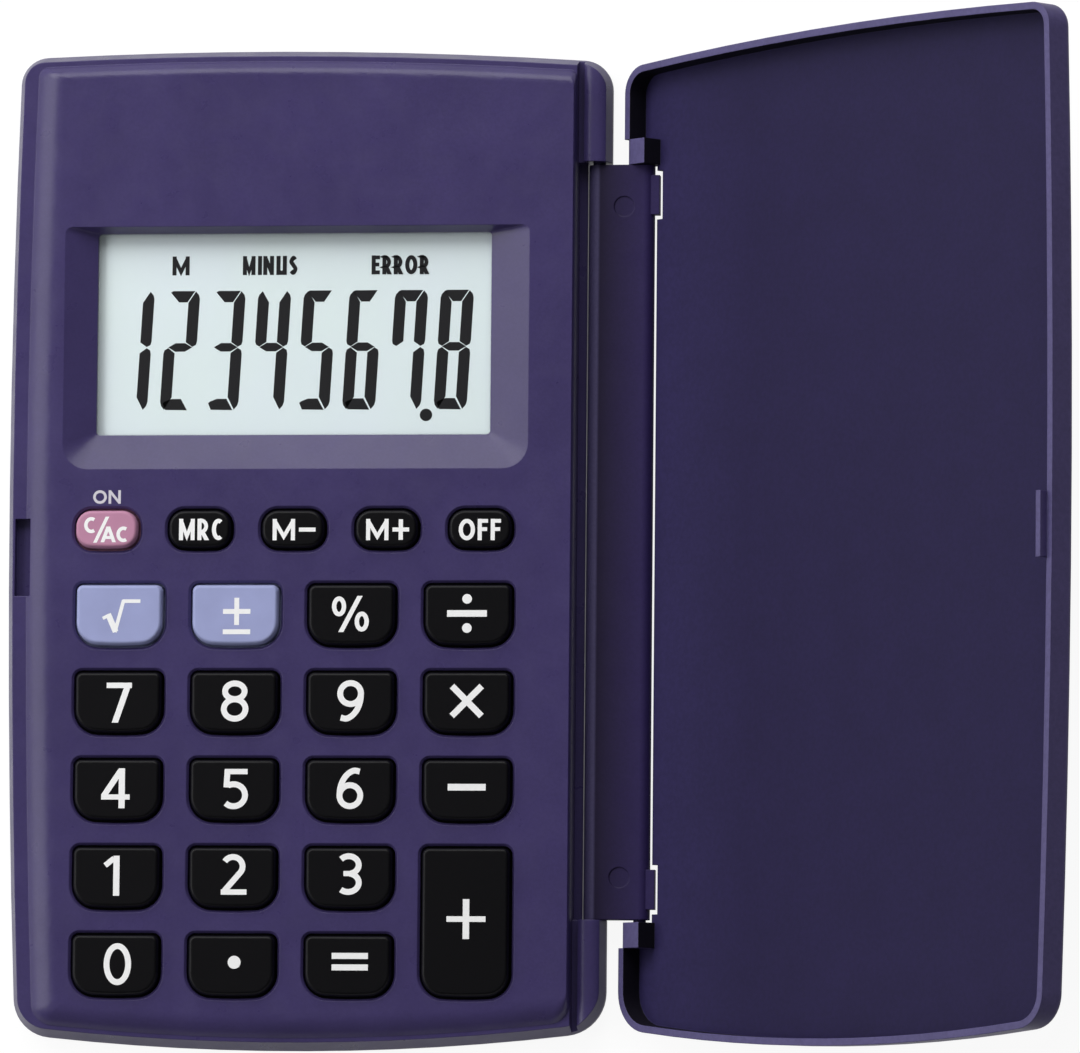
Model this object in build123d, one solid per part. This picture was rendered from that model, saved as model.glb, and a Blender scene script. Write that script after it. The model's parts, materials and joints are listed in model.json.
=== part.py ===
"""Folding pocket calculator, lying on its back with the lid swung open.

Millimetres. The origin is the centre of the underside of the case, +X points to the hinge,
+Y to the display end and +Z out of the keys. The case is a front and a rear shell that meet
on the plane of the case hinge axis. A flat link joins the case to the lid with one hinge on
each of its long edges, so that the lid can close over the keys or fold flat behind the case.
At rest the link lies flat and the lid is tilted up.
"""
from build123d import *
from math import copysign
import os

# Case outline, seen from the front: three gently bowed edges and a straight hinge edge
BODY_LENGTH = 127.0
BODY_WIDTH = 76.8
TOP_EDGE_RADIUS = 610.0
TOP_EDGE_CREST_X = -7.6
BOTTOM_EDGE_RADIUS = 300.0
BOTTOM_EDGE_CREST_X = -2.0
LEFT_EDGE_RADIUS = 1560.0
LEFT_EDGE_CREST_Y = 8.6
CORNER_TOP_LEFT = 3.6
CORNER_BOTTOM_LEFT = 5.0
CORNER_TOP_RIGHT = 3.8
CORNER_BOTTOM_RIGHT = 5.5
LEAST_CORNER = 0.8

# Case heights and walls
HINGE_HEIGHT = 2.4
LEDGE_HEIGHT = 5.5
FACE_HEIGHT = 6.8
REAR_WALL = 1.2
FACE_WALL = 1.3
SIDE_WALL = 1.4
LEDGE_WALL = 1.4
SIDE_DRAFT = 1.0
REAR_EDGE_RADIUS = 1.4

# Raised face: how far its foot and its flat top stand in from the case outline
FOOT_LEFT = 2.8
FOOT_TOP = 1.7
FOOT_BOTTOM = 1.5
FOOT_RIGHT = 4.2
SLOPE_LEFT = 4.0
SLOPE_TOP = 2.0
SLOPE_BOTTOM = 3.3
SLOPE_RIGHT = 0.35
SLOPE_KNEE_REACH = 0.38
SLOPE_KNEE_RISE = 0.7

# Lip that centres the two shells on each other
LIP_THICKNESS = 0.6
LIP_HEIGHT = 0.6
LIP_CLEARANCE = 0.08

# Hinge ears at the right edge of the case, with the link between them
EAR_WIDTH = 3.4
EAR_INSET_TOP = 14.6
EAR_INSET_BOTTOM = 16.6
EAR_INNER_HEIGHT = 4.5
EAR_CREST_HEIGHT = 4.9
EAR_OUTER_HEIGHT = 3.6
EAR_CREST_SHARE = 0.35
EAR_GROOVE_HEIGHT = 3.2
EAR_AXIS_INSET = 1.6

# Shelf on the rear shell that closes the slot between the wall of the case and the link
HINGE_SHELF_REACH = 1.05
HINGE_SHELF_HEIGHT = 1.4

# Link and its pins
LINK_PITCH = 5.8
LINK_BARREL_RADIUS = 1.3
PIN_RADIUS = 0.8
PIN_LENGTH = 2.2
PIN_CLEARANCE = 0.05
PIN_END_CLEARANCE = 0.4
HINGE_END_PLAY = 0.4
HINGE_END_GAP = 0.05
LINK_TAB_LENGTH = 5.0
LINK_TAB_REACH = 0.65
LINK_TAB_HEIGHT = 1.6
LINK_TAB_DROP = 0.3
LINK_TAB_INSET = 3.8
EJECTOR_MARK_RADIUS = 1.3
EJECTOR_MARK_DEPTH = 0.12
EJECTOR_MARK_INSET = 5.3
EJECTOR_MARK_X = 3.3

# Lid
LID_TILT = 41.0
LID_INSET = 0.6
LID_DEPTH = 3.9
LID_FLOOR = 1.1
LID_OUTER_BELOW_AXIS = 1.8
LID_WALL = 0.9
LID_EDGE_RADIUS = 1.0
LID_CUT_EDGE = 1.5
LID_RELIEF_DEPTH = 1.0
LID_RELIEF_CLEARANCE = 0.6
KNUCKLE_WIDTH = 3.2
KNUCKLE_REACH = 2.05
KNUCKLE_RISE = 2.1
KNUCKLE_ROUNDING = 1.3

# Latch: a tongue on the free edge of the lid and its pocket in the ledge of the case
LATCH_Y = -1.3
LATCH_POCKET_LENGTH = 9.8
LATCH_POCKET_WIDTH = 2.0
LATCH_POCKET_INSET = 1.35
LATCH_POCKET_DEPTH = 1.4
LATCH_TONGUE_LENGTH = 8.0
LATCH_TONGUE_THICKNESS = 0.8
LATCH_TONGUE_REACH = 1.1
LATCH_TONGUE_ROOT = 0.5
LATCH_BOSS_MARGIN = 1.4

# Display recess, set in from the case edges, and the slopes from its mouth to the window
RECESS_INSET_LEFT = 7.5
RECESS_INSET_RIGHT = 9.9
RECESS_INSET_TOP = 22.85
RECESS_HEIGHT = 30.87
RECESS_DEPTH = 1.8
RECESS_SLOPE_LEFT = 4.0
RECESS_SLOPE_RIGHT = 5.04
RECESS_SLOPE_TOP = 0.7
RECESS_SLOPE_BOTTOM = 4.47
RECESS_TOP_CORNER = 0.9
RECESS_BOTTOM_CORNER = 3.2
WINDOW_CORNER = 0.5
WINDOW_FLANGE = 1.5
WINDOW_FLANGE_THICKNESS = 0.5
WINDOW_PANE_DROP = 0.05
WINDOW_CLEARANCE = 0.1
BEZEL_LIP = 0.6
BEZEL_MARGIN = 1.8

# Liquid crystal cell, its holder and its contact strip
POLARISER_THICKNESS = 0.1
GLASS_THICKNESS = 0.5
GLASS_MARGIN = 1.2
GLASS_CONTACT_LEDGE = 1.9
HOLDER_RIM = 1.6
HOLDER_CLEARANCE = 0.1
CONTACT_STRIP_WIDTH = 1.6
CONTACT_STRIP_END = 2.0

# Keys: a grid of large keys, a row of small keys above it and one tall key. The holes fill
# the face between these margins, with bars of these widths between them
KEY_COLUMNS = 4
KEY_ROWS = 5
KEY_MARGIN_LEFT = 9.365
KEY_MARGIN_RIGHT = 11.465
KEY_MARGIN_BOTTOM = 6.42
KEY_BAR_X = 3.257
KEY_BAR_Y = 2.81
KEY_BAR_UNDER_SMALL = 4.05
KEY_TOP_CORNER = 1.1
KEY_BOTTOM_CORNER = 3.1
KEY_BOTTOM_BOW = 0.35
TALL_KEY_WIDTH_EXTRA = 0.1
SMALL_KEY_COUNT = 5
SMALL_KEY_MARGIN_LEFT = 9.15
SMALL_KEY_MARGIN_RIGHT = 11.55
SMALL_KEY_BAR = 3.4
SMALL_KEY_UNDER_RECESS = 4.99
SMALL_HOLE_HEIGHT = 5.4
SMALL_KEY_CORNER = 2.3
SMALL_KEY_BOTTOM_BOW = 0.25
KEY_GAP = 0.3
KEY_TOP_HEIGHT = 7.6
KEY_FLANGE = 0.6
KEY_FLANGE_THICKNESS = 0.8
KEY_FLANGE_GAP = 0.1
KEY_TAPER_SIDE = 0.2
KEY_TAPER_TOP = 0.15
KEY_TAPER_BOTTOM = 0.3
KEY_TAPER_START = 0.2
KEY_EDGE_RADIUS = 0.35
HOLE_CHAMFER = 0.3

# Circuit board, key mat and what is soldered to the board
BOARD_GAP = 0.2
BOARD_THICKNESS = 0.6
BOARD_MARGIN = 0.7
BOARD_NOTCH_MARGIN_LEFT = 3.0
BOARD_NOTCH_MARGIN_RIGHT = 4.4
BOARD_NOTCH_MARGIN_BOTTOM = 2.6
BOARD_HOLE_CLEARANCE = 0.3
BOARD_RAIL_WIDTH = 1.0
BOARD_RAIL_INSET = 13.4
MAT_BASE = 0.6
MAT_INSET = 0.4
DOME_FOOT_RADIUS = 3.0
DOME_TOP_RADIUS = 2.1
SMALL_DOME_FOOT_RADIUS = 2.3
SMALL_DOME_TOP_RADIUS = 1.6
DOME_SKIN = 0.5
POST_RADIUS = 0.9
POST_CLEARANCE = 0.4
CHIP_INSET_X = 12.9
CHIP_INSET_Y = 12.9
CHIP_RADIUS = 4.2
CHIP_HEIGHT = 1.1
CAPACITOR_LENGTH = 1.6
CAPACITOR_WIDTH = 0.8
CAPACITOR_HEIGHT = 0.8
CAPACITOR_COUNT = 3
CAPACITOR_PITCH = 2.8
CAPACITOR_INSET_X = 8.0
CAPACITOR_UNDER_CHIP = 5.4

# Button cell, its contacts and its cover
CELL_RADIUS = 5.8
CELL_THICKNESS = 3.05
CELL_STEP = 0.35
CELL_STEP_INSET = 0.7
CELL_INSET_RIGHT = 29.4
CELL_INSET_TOP = 11.5
CONTACT_THICKNESS = 0.2
CONTACT_WIDTH = 2.4
CONTACT_FOOT = 2.6
CONTACT_GAP = 0.02
CONTACT_TOP_CLEARANCE = 0.7
CONTACT_REACH = 6.8
CONTACT_PLUS_OFFSET = -1.0
CONTACT_MINUS_OFFSET = 3.0
COVER_INSET_LEFT = 22.8
COVER_MARGIN_RIGHT = 1.4
COVER_MARGIN_SIDES = 1.2
COVER_CORNER = 1.6
COVER_CLEARANCE = 0.12
COVER_SEAT = 0.95
COVER_SEAT_THICKNESS = 0.8
COVER_GRIP_COUNT = 4
COVER_GRIP_WIDTH = 0.8
COVER_GRIP_LENGTH = 7.0
COVER_GRIP_PITCH = 1.8
COVER_GRIP_DEPTH = 0.35
COVER_SCREW_INSET = 3.6

# Screws: one near each corner of the case and one on each side, under the display recess
SCREW_INSET_LEFT = 6.2
SCREW_INSET_RIGHT = 8.0
SCREW_INSET_TOP = 6.6
SCREW_INSET_BOTTOM = 7.1
SCREW_UNDER_RECESS = 3.48
SCREW_RADIUS = 0.85
SCREW_HEAD_RADIUS = 1.6
SCREW_HEAD_HEIGHT = 0.8
SCREW_HEAD_SINK = 0.3
SCREW_HEAD_RIM = 0.6
SCREW_LENGTH = 3.6
SCREW_HOLE_CLEARANCE = 0.12
SCREW_SLOT = 0.35
BOSS_WALL = 1.2
COVER_SCREW_RADIUS = 0.7
COVER_SCREW_HEAD_RADIUS = 1.4
COVER_SCREW_HEAD_HEIGHT = 0.5
COVER_SCREW_HEAD_SINK = 0.1
COVER_SCREW_LENGTH = 2.4

# Worked-out places
HALF_LENGTH = BODY_LENGTH / 2
HALF_WIDTH = BODY_WIDTH / 2
EAR_GAP_TOP = HALF_LENGTH - EAR_INSET_TOP
EAR_GAP_BOTTOM = EAR_INSET_BOTTOM - HALF_LENGTH
AXIS_X = HALF_WIDTH - EAR_AXIS_INSET
WALL_X = HALF_WIDTH - FOOT_RIGHT
EAR_X = HALF_WIDTH - EAR_WIDTH
SPLIT_HEIGHT = HINGE_HEIGHT
LEDGE_ROOF = LEDGE_HEIGHT - LEDGE_WALL
FACE_ROOF = FACE_HEIGHT - FACE_WALL
LINK_LENGTH = EAR_GAP_TOP - EAR_GAP_BOTTOM - HINGE_END_PLAY
HINGE_SHIFT = HINGE_END_PLAY / 2 - HINGE_END_GAP
EAR_GAP_Y = (EAR_GAP_TOP + EAR_GAP_BOTTOM) / 2
LINK_Y = EAR_GAP_Y - HINGE_SHIFT
LINK_TAB_OFFSET = LINK_LENGTH / 2 - LINK_TAB_INSET
EJECTOR_MARK_OFFSET = LINK_LENGTH / 2 - EJECTOR_MARK_INSET
LID_SHIFT = -2 * HINGE_SHIFT
LID_CUT_LENGTH = LINK_LENGTH + HINGE_END_PLAY
LID_CUT_Y = EAR_GAP_Y + LID_SHIFT
LID_RIM = LID_DEPTH - LID_OUTER_BELOW_AXIS
LID_INNER = LID_FLOOR - LID_OUTER_BELOW_AXIS
BORE_RADIUS = PIN_RADIUS + PIN_CLEARANCE
BORE_DEPTH = PIN_LENGTH + PIN_END_CLEARANCE
RECESS_LEFT = RECESS_INSET_LEFT - HALF_WIDTH
RECESS_RIGHT = HALF_WIDTH - RECESS_INSET_RIGHT
RECESS_TOP = HALF_LENGTH - RECESS_INSET_TOP
RECESS_BOTTOM = RECESS_TOP - RECESS_HEIGHT
WINDOW_LEFT = RECESS_LEFT + RECESS_SLOPE_LEFT
WINDOW_RIGHT = RECESS_RIGHT - RECESS_SLOPE_RIGHT
WINDOW_TOP = RECESS_TOP - RECESS_SLOPE_TOP
WINDOW_BOTTOM = RECESS_BOTTOM + RECESS_SLOPE_BOTTOM
WINDOW_WIDTH = WINDOW_RIGHT - WINDOW_LEFT
WINDOW_HEIGHT = WINDOW_TOP - WINDOW_BOTTOM
WINDOW_X = (WINDOW_LEFT + WINDOW_RIGHT) / 2
WINDOW_Y = (WINDOW_BOTTOM + WINDOW_TOP) / 2
WINDOW_LEVEL = FACE_HEIGHT - RECESS_DEPTH
BEZEL_LIP_LEVEL = WINDOW_LEVEL - BEZEL_LIP
BEZEL_LEVEL = BEZEL_LIP_LEVEL - WINDOW_FLANGE_THICKNESS
BOARD_BOTTOM = REAR_WALL + BOARD_GAP
BOARD_LEVEL = BOARD_BOTTOM + BOARD_THICKNESS
FLANGE_TOP = FACE_ROOF - KEY_FLANGE_GAP
FLANGE_LEVEL = FLANGE_TOP - KEY_FLANGE_THICKNESS
BOSS_RADIUS = SCREW_RADIUS + BOSS_WALL
SCREW_SEAT = SCREW_HEAD_SINK + SCREW_HEAD_HEIGHT
SCREW_TIP = SCREW_SEAT + SCREW_LENGTH
REAR_BOSS_RADIUS = SCREW_HEAD_RADIUS + SCREW_HOLE_CLEARANCE + SCREW_HEAD_RIM
SCREW_LEFT = SCREW_INSET_LEFT - HALF_WIDTH
SCREW_RIGHT = HALF_WIDTH - SCREW_INSET_RIGHT
SCREW_TOP = HALF_LENGTH - SCREW_INSET_TOP
SCREW_MIDDLE = RECESS_BOTTOM - SCREW_UNDER_RECESS
SCREW_BOTTOM = SCREW_INSET_BOTTOM - HALF_LENGTH
COVER_SCREW_SEAT = COVER_SCREW_HEAD_SINK + COVER_SCREW_HEAD_HEIGHT
STACK_BOTTOM = BEZEL_LEVEL - 2 * (POLARISER_THICKNESS + GLASS_THICKNESS)
FRONT_GLASS_BOTTOM = BEZEL_LEVEL - POLARISER_THICKNESS - GLASS_THICKNESS
CELL_X = HALF_WIDTH - CELL_INSET_RIGHT
CELL_Y = HALF_LENGTH - CELL_INSET_TOP
CONTACT_LANDING_X = CELL_X + CELL_RADIUS + CONTACT_REACH
CONTACT_PLUS_Y = CELL_Y + CONTACT_PLUS_OFFSET
CONTACT_MINUS_Y = CELL_Y + CONTACT_MINUS_OFFSET
COVER_LEFT = COVER_INSET_LEFT - HALF_WIDTH
COVER_RIGHT = CELL_X + CELL_RADIUS + COVER_MARGIN_RIGHT
COVER_HEIGHT = 2 * (CELL_RADIUS + COVER_MARGIN_SIDES)
COVER_X = (COVER_LEFT + COVER_RIGHT) / 2
COVER_Y = CELL_Y
COVER_WIDTH = COVER_RIGHT - COVER_LEFT
COVER_SCREW_X = COVER_LEFT + COVER_SCREW_INSET
BOARD_NOTCH_LEFT = COVER_LEFT - BOARD_NOTCH_MARGIN_LEFT
BOARD_NOTCH_RIGHT = CELL_X + CELL_RADIUS + BOARD_NOTCH_MARGIN_RIGHT
BOARD_NOTCH_BOTTOM = CELL_Y - CELL_RADIUS - BOARD_NOTCH_MARGIN_BOTTOM
CHIP_X = CHIP_INSET_X - HALF_WIDTH
CHIP_Y = HALF_LENGTH - CHIP_INSET_Y
SMALL_ROW_LEFT = SMALL_KEY_MARGIN_LEFT - HALF_WIDTH
SMALL_ROW_WIDTH = BODY_WIDTH - SMALL_KEY_MARGIN_LEFT - SMALL_KEY_MARGIN_RIGHT
SMALL_HOLE_WIDTH = (SMALL_ROW_WIDTH + SMALL_KEY_BAR) / SMALL_KEY_COUNT - SMALL_KEY_BAR
SMALL_KEY_PITCH = SMALL_HOLE_WIDTH + SMALL_KEY_BAR
SMALL_KEY_FIRST_X = SMALL_ROW_LEFT + SMALL_HOLE_WIDTH / 2
SMALL_KEY_Y = RECESS_BOTTOM - SMALL_KEY_UNDER_RECESS - SMALL_HOLE_HEIGHT / 2
KEY_GRID_LEFT = KEY_MARGIN_LEFT - HALF_WIDTH
KEY_GRID_WIDTH = BODY_WIDTH - KEY_MARGIN_LEFT - KEY_MARGIN_RIGHT
KEY_GRID_TOP = SMALL_KEY_Y - SMALL_HOLE_HEIGHT / 2 - KEY_BAR_UNDER_SMALL
KEY_GRID_HEIGHT = KEY_GRID_TOP + HALF_LENGTH - KEY_MARGIN_BOTTOM
KEY_HOLE_WIDTH = (KEY_GRID_WIDTH + KEY_BAR_X) / KEY_COLUMNS - KEY_BAR_X
KEY_HOLE_HEIGHT = (KEY_GRID_HEIGHT + KEY_BAR_Y) / KEY_ROWS - KEY_BAR_Y
KEY_PITCH_X = KEY_HOLE_WIDTH + KEY_BAR_X
KEY_PITCH_Y = KEY_HOLE_HEIGHT + KEY_BAR_Y
KEY_FIRST_X = KEY_GRID_LEFT + KEY_HOLE_WIDTH / 2
KEY_FIRST_Y = KEY_GRID_TOP - KEY_HOLE_HEIGHT / 2
TALL_KEY_X = KEY_FIRST_X + (KEY_COLUMNS - 1) * KEY_PITCH_X
TALL_KEY_Y = KEY_FIRST_Y - (KEY_ROWS - 1.5) * KEY_PITCH_Y


def slab(sketch, low, high):
    """A flat sketch drawn out from one height to another."""
    return Pos(0, 0, low) * extrude(sketch, high - low)


def block(x_low, x_high, y_low, y_high, z_low, z_high):
    """A box between two corners."""
    centre = Pos((x_low + x_high) / 2, (y_low + y_high) / 2, (z_low + z_high) / 2)
    return centre * Box(x_high - x_low, y_high - y_low, z_high - z_low)


def rod_y(x, z, radius, y_low, y_high):
    """A round bar along Y."""
    return Pos(x, (y_low + y_high) / 2, z) * Rot(90, 0, 0) * Cylinder(radius, y_high - y_low)


def post(x, y, radius, z_low, z_high):
    """A round bar along Z."""
    return Pos(x, y, (z_low + z_high) / 2) * Cylinder(radius, z_high - z_low)


def round_corner(outline, toward_x, toward_y, radius):
    """Round the corner of an outline that lies furthest in one direction."""
    corner = outline.vertices().sort_by(lambda v: toward_x * v.X + toward_y * v.Y)[-1]
    return fillet(corner, max(radius, LEAST_CORNER))


def plan(left=0.0, right=0.0, top=0.0, bottom=0.0):
    """The case outline, with each edge moved in by its own amount."""
    top_y = HALF_LENGTH - TOP_EDGE_RADIUS
    bottom_y = BOTTOM_EDGE_RADIUS - HALF_LENGTH
    left_x = LEFT_EDGE_RADIUS - HALF_WIDTH
    outline = Pos(TOP_EDGE_CREST_X, top_y) * Circle(TOP_EDGE_RADIUS - top)
    outline &= Pos(BOTTOM_EDGE_CREST_X, bottom_y) * Circle(BOTTOM_EDGE_RADIUS - bottom)
    outline &= Pos(left_x, LEFT_EDGE_CREST_Y) * Circle(LEFT_EDGE_RADIUS - left)
    outline &= Pos(-HALF_WIDTH - right, 0) * Rectangle(2 * BODY_WIDTH, 2 * BODY_LENGTH)
    outline = round_corner(outline, -1, 1, CORNER_TOP_LEFT - (left + top) / 2)
    outline = round_corner(outline, -1, -1, CORNER_BOTTOM_LEFT - (left + bottom) / 2)
    outline = round_corner(outline, 1, 1, CORNER_TOP_RIGHT - (right + top) / 2)
    outline = round_corner(outline, 1, -1, CORNER_BOTTOM_RIGHT - (right + bottom) / 2)
    return outline


def even_plan(inset):
    """The case outline moved in by the same amount all round."""
    return plan(inset, inset, inset, inset)


def inner_plan(inset, right_wall):
    """The outline of a space in the case, whose right wall stands beside the link."""
    return plan(inset, FOOT_RIGHT + right_wall, inset, inset)


def key_outline(width, height, top_corner, bottom_corner, bow, grow=0.0):
    """The outline of a key: a flat top edge and a bowed bottom edge with rounder corners."""
    half_width = width / 2 + grow
    top = height / 2 + grow
    bottom = -height / 2 - grow
    shoulder = bottom + bow
    sides = Polyline(
        (-half_width, shoulder), (-half_width, top), (half_width, top), (half_width, shoulder)
    )
    foot = ThreePointArc((half_width, shoulder), (0, bottom), (-half_width, shoulder))
    outline = make_face(sides + foot)
    outline = round_corner(outline, -1, 1, top_corner + grow)
    outline = round_corner(outline, 1, 1, top_corner + grow)
    outline = round_corner(outline, -1, -1, bottom_corner + grow)
    return round_corner(outline, 1, -1, bottom_corner + grow)


def large_outline(extra_width=0.0, extra_height=0.0, grow=0.0):
    """The outline of a large key hole."""
    width = KEY_HOLE_WIDTH + extra_width
    height = KEY_HOLE_HEIGHT + extra_height
    return key_outline(width, height, KEY_TOP_CORNER, KEY_BOTTOM_CORNER, KEY_BOTTOM_BOW, grow)


def small_outline(extra_width=0.0, extra_height=0.0, grow=0.0):
    """The outline of a small key hole."""
    width = SMALL_HOLE_WIDTH + extra_width
    height = SMALL_HOLE_HEIGHT + extra_height
    return key_outline(
        width, height, SMALL_KEY_CORNER, SMALL_KEY_CORNER, SMALL_KEY_BOTTOM_BOW, grow
    )


def key_places():
    """Every key as name, x, y, outline function, extra width and extra height."""
    places = []
    small_names = ("clear", "memory_recall", "memory_minus", "memory_plus", "off")
    for index in range(SMALL_KEY_COUNT):
        x = SMALL_KEY_FIRST_X + index * SMALL_KEY_PITCH
        places.append((f"key_{small_names[index]}", x, SMALL_KEY_Y, small_outline, 0.0, 0.0))
    grid_names = (
        ("square_root", "change_sign", "percent", "divide"),
        ("7", "8", "9", "multiply"),
        ("4", "5", "6", "minus"),
        ("1", "2", "3", None),
        ("0", "point", "equals", None),
    )
    for row in range(KEY_ROWS):
        for column in range(KEY_COLUMNS):
            name = grid_names[row][column]
            if name is not None:
                x = KEY_FIRST_X + column * KEY_PITCH_X
                y = KEY_FIRST_Y - row * KEY_PITCH_Y
                places.append((f"key_{name}", x, y, large_outline, 0.0, 0.0))
    tall = (TALL_KEY_X, TALL_KEY_Y, large_outline, TALL_KEY_WIDTH_EXTRA, KEY_PITCH_Y)
    places.append(("key_plus", *tall))
    return places


def key_hole(outline, extra_width, extra_height):
    """The cutter of one key hole, with a bevelled mouth."""
    hole = outline(extra_width, extra_height)
    mouth = outline(extra_width, extra_height, HOLE_CHAMFER)
    bevel = loft([Pos(0, 0, FACE_HEIGHT - HOLE_CHAMFER) * hole, Pos(0, 0, FACE_HEIGHT) * mouth])
    return slab(hole, FACE_ROOF, FACE_HEIGHT) + bevel


def key_cap(outline, extra_width, extra_height):
    """One key: a flange under the face, a straight stem and a tapered cap."""
    stem_top = FACE_HEIGHT + KEY_TAPER_START
    flange = outline(extra_width, extra_height, KEY_FLANGE)
    stem = outline(extra_width, extra_height, -KEY_GAP)
    top_height = extra_height + 2 * KEY_TAPER_SIDE - KEY_TAPER_TOP - KEY_TAPER_BOTTOM
    lift = (KEY_TAPER_BOTTOM - KEY_TAPER_TOP) / 2
    top = Pos(0, lift) * outline(extra_width, top_height, -KEY_GAP - KEY_TAPER_SIDE)
    cap = loft([Pos(0, 0, stem_top) * stem, Pos(0, 0, KEY_TOP_HEIGHT) * top])
    cap = fillet(cap.edges().group_by(Axis.Z)[-1], KEY_EDGE_RADIUS)
    return slab(flange, FLANGE_LEVEL, FLANGE_TOP) + slab(stem, FLANGE_TOP, stem_top) + cap


def raised_face():
    """The raised face of the case, with a slope that eases off towards its flat top."""
    knee_height = LEDGE_HEIGHT + SLOPE_KNEE_RISE * (FACE_HEIGHT - LEDGE_HEIGHT)
    sections = []
    for share, height in ((0.0, LEDGE_HEIGHT), (SLOPE_KNEE_REACH, knee_height), (1.0, FACE_HEIGHT)):
        section = plan(
            FOOT_LEFT + share * SLOPE_LEFT,
            FOOT_RIGHT + share * SLOPE_RIGHT,
            FOOT_TOP + share * SLOPE_TOP,
            FOOT_BOTTOM + share * SLOPE_BOTTOM,
        )
        sections.append(Pos(0, 0, height) * section)
    return loft(sections)


def ear_profile():
    """The round-topped section of the hinge ears, drawn out along the whole case."""
    side = HALF_WIDTH
    with_arc = ThreePointArc(
        (EAR_X, EAR_INNER_HEIGHT),
        (EAR_X + EAR_CREST_SHARE * EAR_WIDTH, EAR_CREST_HEIGHT),
        (side, EAR_OUTER_HEIGHT),
    )
    rest = Polyline(
        (side, EAR_OUTER_HEIGHT), (side, SPLIT_HEIGHT), (EAR_X, SPLIT_HEIGHT), (EAR_X, EAR_INNER_HEIGHT)
    )
    profile = Plane.XZ * make_face(with_arc + rest)
    return extrude(profile, BODY_LENGTH, both=True)


def pin_bores():
    """The two blind bores that hold the pins of the link in the ears."""
    upper = rod_y(AXIS_X, HINGE_HEIGHT, BORE_RADIUS, EAR_GAP_TOP, EAR_GAP_TOP + BORE_DEPTH)
    lower = rod_y(AXIS_X, HINGE_HEIGHT, BORE_RADIUS, EAR_GAP_BOTTOM - BORE_DEPTH, EAR_GAP_BOTTOM)
    return upper + lower


def link_space(z_low, z_high):
    """The open space between the ears that the link swings in."""
    return block(WALL_X, 2 * HALF_WIDTH, EAR_GAP_BOTTOM, EAR_GAP_TOP, z_low, z_high)


def hinge_shelf():
    """The narrow shelf along the wall of the case, under the edge of the link."""
    shelf_x = WALL_X + HINGE_SHELF_REACH
    return block(WALL_X, shelf_x, EAR_GAP_BOTTOM, EAR_GAP_TOP, 0, HINGE_SHELF_HEIGHT)


def recess_cutter():
    """The sloping recess around the window."""
    width = RECESS_RIGHT - RECESS_LEFT
    height = RECESS_TOP - RECESS_BOTTOM
    mouth = Rectangle(width, height)
    for toward_x in (-1, 1):
        mouth = round_corner(mouth, toward_x, 1, RECESS_TOP_CORNER)
        mouth = round_corner(mouth, toward_x, -1, RECESS_BOTTOM_CORNER)
    mouth_place = Pos((RECESS_LEFT + RECESS_RIGHT) / 2, (RECESS_TOP + RECESS_BOTTOM) / 2, FACE_HEIGHT)
    floor = RectangleRounded(WINDOW_WIDTH, WINDOW_HEIGHT, WINDOW_CORNER)
    return loft([Pos(WINDOW_X, WINDOW_Y, WINDOW_LEVEL) * floor, mouth_place * mouth])


def window_frame(grow, z_low, z_high):
    """A rounded block over the window opening, grown on every side."""
    corner = WINDOW_CORNER + grow
    frame = RectangleRounded(WINDOW_WIDTH + 2 * grow, WINDOW_HEIGHT + 2 * grow, corner)
    return Pos(WINDOW_X, WINDOW_Y, 0) * slab(frame, z_low, z_high)


def post_spots():
    """The posts between the keys that press the board down."""
    spots = []
    for column in (0.5, 2.5):
        for row in (0.5, 2.5):
            spots.append((KEY_FIRST_X + column * KEY_PITCH_X, KEY_FIRST_Y - row * KEY_PITCH_Y))
    return spots


def corner_screws():
    """The case screws near the four corners."""
    spots = []
    for x in (SCREW_LEFT, SCREW_RIGHT):
        for y in (SCREW_BOTTOM, SCREW_TOP):
            spots.append((x, y))
    return spots


def case_screw_spots():
    """Every case screw: the four corners and the two sides."""
    return corner_screws() + [(SCREW_LEFT, SCREW_MIDDLE), (SCREW_RIGHT, SCREW_MIDDLE)]


def rail_rows():
    """The heights on the face of the rails that carry the board."""
    rows = [KEY_FIRST_Y - row * KEY_PITCH_Y for row in (-0.5, 1.5, 3.5)]
    return rows + [WINDOW_Y]


def latch_boss():
    """The thickening of the case under the latch pocket."""
    half = LATCH_POCKET_LENGTH / 2 + LATCH_BOSS_MARGIN
    inner_x = -HALF_WIDTH + LATCH_POCKET_INSET + LATCH_POCKET_WIDTH + LATCH_BOSS_MARGIN
    low = LEDGE_HEIGHT - LATCH_POCKET_DEPTH - LATCH_BOSS_MARGIN
    return block(-HALF_WIDTH, inner_x, LATCH_Y - half, LATCH_Y + half, low, FACE_ROOF)


def latch_pocket():
    """The pocket in the ledge that takes the tongue of the lid."""
    half = LATCH_POCKET_LENGTH / 2
    outer_x = -HALF_WIDTH + LATCH_POCKET_INSET
    low = LEDGE_HEIGHT - LATCH_POCKET_DEPTH
    inner_x = outer_x + LATCH_POCKET_WIDTH
    return block(outer_x, inner_x, LATCH_Y - half, LATCH_Y + half, low, FACE_HEIGHT)


def lip_ring(grow, rise):
    """The centring lip around the inside of the joint between the shells."""
    reach = LIP_THICKNESS + grow
    ring = inner_plan(SIDE_WALL - reach, SIDE_WALL - reach) - inner_plan(SIDE_WALL, SIDE_WALL)
    return slab(ring, SPLIT_HEIGHT, SPLIT_HEIGHT + LIP_HEIGHT + rise)


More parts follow.
